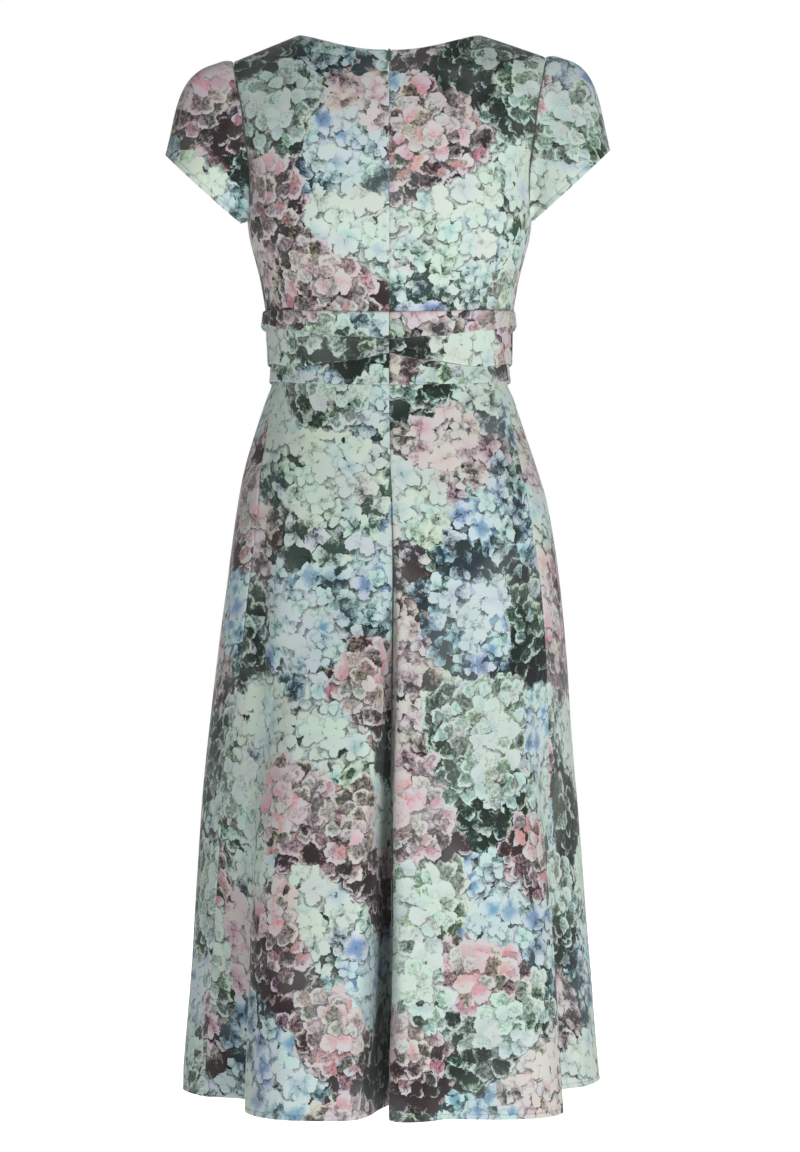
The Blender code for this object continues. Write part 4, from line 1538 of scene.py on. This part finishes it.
@dataclass
class Sleeves:
    """The two cap sleeves, a little gathered at the head, with narrow stitched hems.

    Attributes:
        wardrobe: the finishes.
        thickness: how thick the cloth looks.
        columns: how many points a row has.
        rows: how many even steps there are from armhole to cuff.
        cuff_depth: how far the cuff reaches in front of its centre and behind it.
        right_short: how much shorter the right sleeve looks.
        slant: how far the cuff is drawn up in front, and let down behind.
        stand: how far the sleeve starts from the armhole.
    """

    wardrobe: Wardrobe
    thickness: float = 0.7
    columns: int = 168
    rows: int = 40
    cuff_depth: float = 62.0
    right_short: float = 6.0
    slant: float = 3.6
    stand: float = 0.7

    CUFF_CENTRE = np.array((208.5, -5.0, -171.5))
    CUFF_HIGH = np.array((251.0, -5.0, -133.0))     # the cuff's highest point
    CUFF_TURN = np.array((0.26, 0.0, -0.966))       # which way the cloth runs there
    ARM = np.array((0.66, 0.0, -0.75))

    def armhole(self, steps: Array) -> Array:
        """Return points of the armhole, from the shoulder tip by the front and back again.

        Args:
            steps: how far round, counted in rows of the solid's armhole.

        Returns:
            The points.
        """
        last = len(ARMHOLE_ROWS) - 1
        rows = Smooth(range(last + 1), ARMHOLE_ROWS)
        front = steps < last
        row = rows(np.where(front, steps, 2 * last - steps))
        points = np.zeros((len(steps), 3))
        for side, chosen in ((Side.FRONT, front), (Side.BACK, ~front)):
            top = FORM.top_drop(np.array([1.0]), side)[0]
            drop = top + (UNDERARM - top) * row[chosen]**ROW_EASE
            points[chosen] = FORM.bodice(FORM.bodice_angle(1 + 0 * drop, drop, side), drop)
        return points

    def grid(self, shortening: float) -> tuple[Array, Array]:
        """Shape a left sleeve.

        Args:
            shortening: how much shorter it is.

        Returns:
            Its grid, and how near each column is to the sleeve's head.
        """
        turn = np.arange(self.columns) / self.columns
        start = self.armhole(turn * 2 * (len(ARMHOLE_ROWS) - 1))
        theta = (2 * math.pi * turn)[:, None]
        end = (self.CUFF_CENTRE + (self.CUFF_HIGH - self.CUFF_CENTRE) * np.cos(theta)
               - np.array((0, self.cuff_depth, 0)) * np.sin(theta)
               - self.ARM * (shortening + self.slant * np.sin(theta)))
        length = np.linalg.norm(end - start, axis=1, keepdims=True)
        chord = (end - start) / length
        top, under = np.maximum(np.cos(theta), 0), np.maximum(-np.cos(theta), 0)
        leave = unit((1 - top) * chord + top * np.array((1.0, 0, 0)))
        arrive = unit(self.ARM * (1 - top - under) + self.CUFF_TURN * top + chord * under)
        start = start + leave * self.stand
        one, two = start + leave * 0.5 * length, end - arrive * 0.42 * length
        t = np.linspace(0, 1, 60)[:, None, None]
        grid = ((1 - t)**3 * start + 3 * t * (1 - t)**2 * one + 3 * t**2 * (1 - t) * two
                + t**3 * end)
        return grid, top[:, 0]

    def build(self) -> list[bpy.types.Object]:
        """Shape, gather and finish both sleeves.

        Returns:
            The sleeves and their hem stitches.
        """
        pieces = []
        for name, sign, short, place, seed in (
                ("left", 1, 0, (3.12, 1.4), 21), ("right", -1, self.right_short, (3.77, 0.2), 22)):
            grid, head = self.grid(short)
            grid = np.roll(respaced_down(grid, self.rows, HEAD_POINTS, HEM_POINTS),
                           self.columns // 2, 1)
            head = np.roll(head, self.columns // 2)
            if sign < 0:
                grid, head = mirrored(grid), head[::-1]
            cloth = Cloth(f"sleeve_{name}_cloth", grid, closed=True,
                          axis=(0.85 * sign, 0.0, -0.53), print_place=place)
            self.gather(cloth, head, seed)
            cloth.roll(1.0, 2.4, Border.TOP)
            thread = cloth.stitch_hem(0.50, 0.12)
            cloth.turn_under(Border.TOP, 8.0)
            cloth.turn_under(Border.BOTTOM, 6.5)
            stitches = sewn_stitches(
                f"cuff_stitches_{name}", np.concatenate((thread, thread[:1])),
                {"Pitch": 0.0030, "Stitch": 0.00115, "Thread": 0.00018}, self.wardrobe)
            pieces += [dressed_panel(cloth, self.wardrobe, f"sleeve_{name}", self.thickness), stitches]
        return pieces

    def gather(self, cloth: Cloth, head: Array, seed: int) -> None:
        """Ease the head into small gathers and add soft wrinkles below it.

        Args:
            cloth: the sleeve.
            head: how near each column is to the sleeve's head.
            seed: which wrinkles.
        """
        chance = np.random.default_rng(seed)
        gather, swell, wrinkle = 0.55, 1.5, 0.8    # how high each is
        from_head = cloth.from_border(Border.TOP)
        around = np.cumsum(1 + 0.35 * np.sin(np.arange(self.columns) * 0.7
                                             + chance.uniform(0, 6)))
        waves = np.sin(around * 1.15) * (0.6 + 0.4 * np.sin(around * 0.31))
        strength = np.clip((head - 0.35) / 0.5, 0, 1)
        cloth.push(strength * waves * gather * np.exp(-from_head / 13))
        cloth.push(strength * swell * np.exp(-((from_head - 9) / 7)**2))
        cloth.refresh()
        soft = np.sin(around * 0.23 + chance.uniform(0, 6)) * wrinkle
        cloth.push(soft * np.exp(-((from_head - 38) / 26)**2))
        cloth.refresh()


@dataclass
class Waistband:
    """The waistband: three soft folds that point down, in two backs and a front.

    Attributes:
        wardrobe: the finishes.
    """

    wardrobe: Wardrobe

    # Outer face over the form: which fold, how far down it, and how far out
    ROWS = table(
        "fold down out",
        (0, 0.00, 0.2), (0, 0.012, 1.4), (0, 0.05, 2.3), (0, 0.14, 3.0), (0, 0.30, 3.6),
        (0, 0.50, 4.2), (0, 0.70, 4.9), (0, 0.86, 5.6), (0, 0.95, 6.0), (0, 0.985, 5.9),
        (0, 1.00, 5.3), (0, 0.992, 4.4), (0, 0.95, 3.2), (0, 0.925, 2.0), (0, 0.95, 0.9),
        (1, 0.03, 0.8), (1, 0.16, 1.6), (1, 0.36, 2.4), (1, 0.60, 3.2), (1, 0.82, 3.9),
        (1, 0.93, 4.3), (1, 0.98, 4.2), (1, 1.00, 3.6), (1, 0.99, 2.7), (1, 0.93, 1.9),
        (1, 0.90, 1.2), (1, 0.93, 0.5),
        (2, 0.03, 0.5), (2, 0.16, 1.3), (2, 0.36, 2.1), (2, 0.60, 2.8), (2, 0.82, 3.4),
        (2, 0.93, 3.7), (2, 0.98, 3.5), (2, 1.00, 2.8), (2, 0.99, 1.2),
    )
    TAKEN_UP = 31.0        # how much cloth each fold hides

    def edge(self, index: int, angle: Array) -> Array:
        """Return the drop of a fold's lower edge, with slight unevenness."""
        uneven = 0.5 * np.sin(np.radians(angle) * 11 + 2.1 * index) * (0 < index < 3)
        return FORM.fold_edge(index, angle) + uneven

    def column(self, angle: Array) -> tuple[Array, Array]:
        """Lay the band's folds.

        Args:
            angle: the columns' angles in degrees.

        Returns:
            The outer and inner points down the band.
        """
        outer, inner = [], []
        for fold, down, out in zip(*(self.ROWS[key] for key in ("fold", "down", "out"))):
            top, edge = self.edge(int(fold), angle), self.edge(int(fold) + 1, angle)
            drop = top + (edge - top) * down
            full = 1 + 0.10 * np.sin(np.radians(angle) * (5 + 2 * fold) + 1.3 * fold)
            swell = 0.35 * np.sin(np.radians(angle) * 7 + 0.05 * drop)
            spot, normal = FORM.point(angle, drop), FORM.normal(angle, drop)
            outer.append(spot + normal * (out * full + swell * min(out / 3, 1))[:, None])
            inner.append(spot - normal * CLOTH)
        return np.array(outer), np.array(inner)

    def piece(self, name: str, start: float, end: float, count: int,
              place: tuple[float, float]) -> bpy.types.Object:
        """Make one piece of the band.

        Args:
            name: the solid that it stands for.
            start: the angle at which it starts.
            end: the angle at which it ends.
            count: how many columns it has.
            place: where on the printed cloth it was cut.

        Returns:
            The finished piece.
        """
        angle = np.linspace(start, end, count)
        outer, inner = self.column(angle)
        face = Cloth(f"{name}_cloth", outer, print_place=place)
        ends = np.minimum(*(face.from_border(border) for border in SEAMS))
        for part in (outer, inner):
            for edge, beside in ((0, 1), (-1, -2)):
                part[:, edge] += unit(part[:, beside] - part[:, edge]) * (SEAM / 2)
        sink = np.clip(1 - ends / 3.4, 0, 1)**2
        outer -= FORM.normal(angle, 0 * angle + BAND_TOP) * (1.1 * sink)[..., None]
        ring = np.concatenate((outer, inner[::-1]))
        cloth = Cloth(face.name, ring, print_place=place)
        hidden = np.concatenate((self.ROWS["fold"], np.full(len(inner), 2.0))) * self.TAKEN_UP
        cloth.layout[..., 1] += hidden[:, None]
        piece = link(cloth.name, self.closed(panel_mesh(cloth), *ring.shape[:2]),
                     self.wardrobe.face, self.wardrobe.reverse)
        return stand_for(worn(piece), name, face)

    @staticmethod
    def closed(mesh: bpy.types.Mesh, rows: int, columns: int) -> bpy.types.Mesh:
        """Close a wall's mesh at its top and ends.

        Args:
            mesh: the wall, unrolled from its outer top edge to its inner top edge.
            rows: its rows, outer and inner.
            columns: its columns.

        Returns:
            The same mesh.
        """
        shape = bmesh.new()
        shape.from_mesh(mesh)
        shape.verts.ensure_lookup_table()
        layer = shape.loops.layers.uv.active

        def vertex(row: int, column: int) -> bmesh.types.BMVert:
            """Return the vertex at a place in the grid."""
            return shape.verts[row * columns + column]

        added = []
        for c in range(columns - 1):
            added.append((vertex(rows - 1, c), vertex(rows - 1, c + 1), vertex(0, c + 1),
                          vertex(0, c)))
        for r in range(rows // 2 - 1):
            low = rows - 1 - r
            added.append((vertex(r, 0), vertex(r + 1, 0), vertex(low - 1, 0), vertex(low, 0)))
            added.append((vertex(r + 1, columns - 1), vertex(r, columns - 1),
                          vertex(low, columns - 1), vertex(low - 1, columns - 1)))
        for corners in added:
            face = shape.faces.new(corners)
            face.smooth = True
            for loop in face.loops:
                loop[layer].uv = next(other[layer].uv for other in loop.vert.link_loops
                                      if other != loop)
        shape.to_mesh(mesh)
        shape.free()
        return mesh

    def build(self) -> list[bpy.types.Object]:
        """Make the band from seam to seam.

        Returns:
            Its three pieces.
        """
        seam = float(FORM.body["seam"](BAND_TOP))
        return [
            self.piece("waistband_back_left", 0, seam, 76, (4.11, 0.7)),
            self.piece("waistband_front", seam, 360 - seam, 150, (4.83, 1.3)),
            self.piece("waistband_back_right", 360 - seam, 360, 76, (5.62, 0.4)),
        ]


@dataclass
class Skirt:
    """The flared skirt: two backs and a front with deep folds, and a stitched hem.

    Attributes:
        wardrobe: the finishes.
        thickness: how thick the cloth looks.
        steps: how many points lie between two folds before the grid is respaced.
        rows: how many even steps there are from waist to hem.
        hem: how wide the hem's turning is.
        unevenness: how high its waves are.
        longest_wave: how long the longest of them is.
    """

    wardrobe: Wardrobe
    thickness: float = 0.8
    steps: int = 10
    rows: int = 150
    hem: float = 6.6
    unevenness: float = 0.5
    longest_wave: float = 260.0

    PANELS = (("left", BACK_LEFT_FOLDS), ("front", FRONT_FOLDS), ("right", BACK_RIGHT_FOLDS))

    # Hollows beside the hips as seen from behind: their ends (x, drop), depth and width
    HOLLOWS = (
        ((136.0, 400.0), (140.0, 590.0), 5.0, 17.0),
        ((140.0, 520.0), (150.0, 800.0), 9.0, 17.0),
        ((-140.0, 400.0), (-146.0, 600.0), 3.5, 17.0),
        ((70.0, 470.0), (84.0, 800.0), 1.6, 20.0),
        ((-62.0, 520.0), (-76.0, 900.0), 1.6, 20.0),
    )

    def fold_lines(self) -> Array:
        """Lead each fold from the waist to the hem.

        Returns:
            The folds' lines, by row and fold.
        """
        down = np.linspace(0, 1, self.rows + 1)
        lines = []
        for panel, folds in self.PANELS:
            for share, x, y, start in zip(*(folds[key] for key in ("share", "x", "y", "start"))):
                top = FORM.fold_edge(3, self.angle(panel, share, np.array(BAND_FOOT))) - 3.0
                drop = top + (HEM_DROP - top) * down
                spot = FORM.point(self.angle(panel, share, drop), drop)
                t = np.maximum((drop - start) / (HEM_DROP - start), 0)
                weight = (t**2 / (t + FOLD_EASE) * (1 + FOLD_EASE))[:, None]
                spot[:, :2] += (np.array((x, y)) - spot[:, :2]) * weight
                lines.append(spot)
        return np.stack(lines, axis=1)

    @staticmethod
    def angle(panel: str, share: float, drop: Array) -> Array:
        """Return where on the form a fold leaves its panel.

        Args:
            panel: which panel.
            share: the fold's share of the panel.
            drop: drops.

        Returns:
            The angles there.
        """
        seam = FORM.body["seam"](drop)
        if panel == "left":
            return share * seam
        if panel == "right":
            return 360 - share * seam
        return seam + share * (360 - 2 * seam)

    def rings(self) -> Array:
        """Draw smooth closed curves through the folds, one for each row.

        Returns:
            The skirt's whole grid, whose last column is its first again.
        """
        points = self.fold_lines()
        following, before = np.roll(points, -1, 1), np.roll(points, 1, 1)
        reach = np.sqrt(np.maximum(np.linalg.norm(following - points, axis=2), 1e-6))[..., None]
        past = np.roll(reach, 1, 1)
        slope = ((points - before) / past - (following - before) / (past + reach)
                 + (following - points) / reach)
        after = np.roll(slope, -1, 1)
        curve = [hermite(step / self.steps, points, reach * slope, following, reach * after)
                 for step in range(self.steps)]
        grid = np.stack(curve, axis=2).reshape(len(points), -1, 3)
        return np.concatenate((grid, grid[:, :1]), axis=1)

    def build(self) -> list[bpy.types.Object]:
        """Shape, hang and finish the panels.

        Returns:
            The three panels and the hem's stitches.
        """
        rings = self.rings()
        left_end = len(BACK_LEFT_FOLDS["share"]) * self.steps
        front_end = left_end + len(FRONT_FOLDS["share"]) * self.steps
        plans = (
            ("skirt_back_left", rings[:, :left_end + 1], 150, (0.31, 2.1), 31),
            ("skirt_front", rings[:, left_end:front_end + 1], 280, (1.47, 2.6), 32),
            ("skirt_back_right", rings[:, front_end:], 160, (2.93, 1.9), 33),
        )
        pieces = []
        for node, grid, count, place, seed in plans:
            grid = respaced(grid, count, SEAM_POINTS, SEAM_POINTS)
            grid = respaced_down(grid, self.rows, (0,), HEM_POINTS)
            cloth = Cloth(f"{node}_cloth", grid, print_place=place)
            cloth.ripple(seed, self.unevenness, self.longest_wave)
            self.hang(cloth, seed)
            if node == "skirt_back_left":
                self.fall_in(cloth)
            for hollow in self.HOLLOWS:
                self.press_hollow(cloth, *hollow)
            cloth.roll(0.8, 3.0, *SEAMS)
            thread = cloth.stitch_hem(0.4, 0.14)
            for border in SEAMS:
                cloth.turn_under(border, ALLOWANCE)
            cloth.turn_under(Border.BOTTOM, self.hem)
            stitches = sewn_stitches(
                node.replace("skirt", "hem_stitches"), thread,
                {"Pitch": 0.0032, "Stitch": 0.00125, "Thread": 0.0002}, self.wardrobe)
            pieces += [dressed_panel(cloth, self.wardrobe, node, self.thickness), stitches]
        return pieces

    @staticmethod
    def press_hollow(cloth: Cloth, start: tuple[float, float], end: tuple[float, float],
                     depth: float, width: float) -> None:
        """Press a soft hollow into the back of the skirt, across any seam in its way.

        Args:
            cloth: the panel.
            start: where the hollow starts, as seen from behind: its x and drop.
            end: where it ends.
            depth: how deep its middle is.
            width: how wide it is to each side.
        """
        seen = cloth.points[..., (0, 2)] * np.array((1.0, -1.0))
        backward = np.clip(3 * cloth.normals[..., 1], 0, 1)
        cloth.push(-depth * backward * trough(seen, start, end, width, HOLLOW_MARGIN))
        cloth.refresh()

    @staticmethod
    def fall_in(cloth: Cloth) -> None:
        """Let the cloth left of the zip's foot fall into the deep middle fold.

        Args:
            cloth: the left back panel.
        """
        depth, width = 3.4, 15.0
        down = cloth.from_border(Border.TOP)
        start = np.clip((down - 60) / 90, 0, 1)
        share = start * start * (3 - 2 * start) * np.clip((560 - down) / 260, 0, 1)
        cloth.push(-depth * share * np.exp(-(cloth.from_border(Border.START) / width)**2))
        cloth.refresh()

    @staticmethod
    def hang(cloth: Cloth, seed: int) -> None:
        """Add the hem's flutter and the soft creases that fall from the waist.

        Args:
            cloth: the panel.
            seed: which flutter and creases.
        """
        height, reach, apart = 0.45, 60.0, 26.0    # of the flutter, and between creases
        chance = np.random.default_rng(seed + 40)
        across = cloth.layout[..., 0]
        near_hem = np.exp(-cloth.from_border(Border.BOTTOM) / reach)
        flutter = (np.sin(across / 17 + chance.uniform(0, 6))
                   + 0.7 * np.sin(across / 9.1 + chance.uniform(0, 6)))
        cloth.push(height * near_hem * flutter)
        half = 0.5 * (across[0, -1] - across[0, 0])
        for _ in range(int(half / apart)):
            x = chance.uniform(-0.85, 0.85) * half
            top, length = chance.uniform(4, 90), chance.uniform(90, 260)
            lean = x * chance.uniform(0.15, 0.5)
            cloth.crease((x, top), (x + lean, top + length), chance.uniform(0.3, 0.9),
                         chance.uniform(9, 17))
        cloth.refresh()


@dataclass
class BackZip:
    """The invisible zip: two tapes, the coil behind them, and the enamelled slider and pull.

    Attributes:
        wardrobe: the finishes.
        nodes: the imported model's nodes.
        inset: how far the tape lies behind the form.
        coil_inset: how far the coil lies behind the form.
        thick: how thick the tape looks.
        top: where the tape starts.
    """

    wardrobe: Wardrobe
    nodes: dict[str, bpy.types.Object]
    inset: float = 2.2
    coil_inset: float = 3.9
    thick: float = 0.6
    top: float = BACK_NECK + CORNER_DEPTH + 1

    # Where the tape's columns lie, with two for each line of stitches and each edge
    ACROSS = np.array((-12.0, -11.6, -8, -4.6, -4.2, -2, 0, 2, 4.2, 4.6, 8, 11.6, 12.0))
    STITCHES = 4.4         # how far those lines are from the middle

    def surface(self, across: Array, drops: Array, behind: float) -> Array:
        """Return points behind the centre back.

        Args:
            across: how far they are to the wearer's left.
            drops: their drops.
            behind: how far they lie behind the form.

        Returns:
            The points.
        """
        angle = np.degrees(np.arctan2(across, FORM.body["back_y"](drops)))
        low = FORM.point(angle, drops)
        spot = np.where((drops < BAND_TOP)[..., None], FORM.bodice(angle, drops), low)
        return spot - FORM.normal(angle, drops) * behind

    def build(self) -> list[bpy.types.Object]:
        """Sew the tape and the coil, and finish the metal nodes.

        Returns:
            The tape and the coil.
        """
        drops = np.linspace(self.top, ZIP_END, 200)[:, None]
        tape = Cloth("zip_tape_cloth", self.surface(self.ACROSS + 0 * drops,
                                                    drops + 0 * self.ACROSS, self.inset))
        woven = np.sin(tape.layout[..., 1] / 0.9) * 0.04
        tape.push(woven - 0.25 * (np.abs(np.abs(self.ACROSS) - self.STITCHES) < 0.4))
        piece = link(tape.name, panel_mesh(tape), self.wardrobe.tape)
        wall = piece.modifiers.new("Tape thickness", "SOLIDIFY")
        wall.thickness, wall.offset = self.thick * MM, -1
        line = np.linspace(self.top, ZIP_END - 6, 400)
        coil = made_by_nodes("zip_coil", self.surface(0 * line, line, self.coil_inset), one_loop,
                             {"Pitch": 0.00125, "Loop": 0.0012, "Thread": 0.00028},
                             self.wardrobe.coil)
        for part in (piece, coil):
            worn(part)
        stand_for(piece, "zip_tape", tape)
        for name in ("zip_slider", "zip_pull"):
            metal = self.nodes[name]
            metal.data.materials.clear()
            metal.data.materials.append(self.wardrobe.enamel)
        return [piece, coil]


# ------------------------------------------------------------------ studio

@dataclass
class Studio:
    """A white studio: a pale floor, soft lights and the camera.  Sizes are in metres.

    Attributes:
        distance: from the camera to the middle of the dress.
        middle: the height and side of the picture's middle.
        frame_height: what the picture takes in at the dress.
        floor: the floor's height.
        ambient: how strongly the white surroundings light the dress.
        floor_radius: how far the floor reaches.
    """

    distance: float = 3.9
    middle: tuple[float, float] = (-0.01176, -0.6048)
    frame_height: float = 1152 * 1.12e-3
    floor: float = -1.42
    ambient: float = 0.24
    floor_radius: float = 6.0

    # Each light's name, place, width and power in watts
    LIGHTS = (
        ("key", (-1.7, 3.5, -0.5), 1.3, 112),
        ("fill", (0.5, 4.2, -0.7), 2.6, 34),
        ("front", (0.6, -3.4, 1.2), 3.0, 70),
    )

    def build(self) -> None:
        """Build the studio."""
        self.add_camera()
        self.add_floor()
        self.add_world()
        for light in self.LIGHTS:
            self.add_light(*light)

    def add_camera(self) -> None:
        """Add the camera, level and square to the back of the dress."""
        lens = bpy.data.cameras.new("camera")
        lens.sensor_fit, lens.sensor_height = "VERTICAL", 36.0
        lens.lens = lens.sensor_height * self.distance / self.frame_height
        camera = link("camera", lens)
        camera.location = (self.middle[0], self.distance, self.middle[1])
        camera.rotation_euler = Euler((math.pi / 2, 0, math.pi))
        bpy.context.scene.camera = camera

    def add_floor(self) -> None:
        """Add the pale floor."""
        turns = np.linspace(0, 2 * math.pi, 96, endpoint=False)
        ring = [(self.floor_radius * math.cos(turn), self.floor_radius * math.sin(turn),
                 self.floor) for turn in turns]
        mesh = bpy.data.meshes.new("studio_floor")
        mesh.from_pydata(ring, [], [list(range(len(ring)))])
        link("studio_floor", mesh, StudioWhite().build())

    def add_world(self) -> None:
        """Make the surroundings white to look at, and a soft light on the dress."""
        world = bpy.data.worlds.new("studio")
        world.use_nodes = True
        back = world.node_tree.nodes["Background"]
        back.inputs["Color"].default_value = (1, 1, 1, 1)
        nodes = NodeSet(world.node_tree)
        seen = nodes.add("ShaderNodeLightPath")["Is Camera Ray"]
        nodes.put(back.inputs["Strength"], seen * (1 - self.ambient) + self.ambient)
        bpy.context.scene.world = world
        bpy.context.scene.view_settings.view_transform = "Standard"

    def add_light(self, name: str, place: tuple[float, float, float], size: float,
                  power: float) -> None:
        """Add a soft square light that faces the dress.

        Args:
            name: the light's name.
            place: where it stands.
            size: its width.
            power: its power in watts.
        """
        lamp = bpy.data.lights.new(name, "AREA")
        lamp.size, lamp.energy = size, power
        item = link(name, lamp)
        item.location = place
        towards = Vector((0, 0, self.middle[1])) - Vector(place)
        item.rotation_euler = towards.to_track_quat("-Z", "Y").to_euler()


def main() -> None:
    """Build the studio and every piece of the dress."""
    logging.basicConfig(level=logging.INFO, format="%(name)s: %(message)s")
    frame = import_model()
    Studio().build()
    wardrobe = Wardrobe()
    for assembly in (Bodice(wardrobe), Sleeves(wardrobe), Waistband(wardrobe), Skirt(wardrobe),
                     BackZip(wardrobe, frame["nodes"])):
        for piece in assembly.build():
            LOG.info("%s: %s has %d faces", type(assembly).__name__, piece.name,
                     len(piece.data.polygons))


if __name__ == "__main__":
    main()
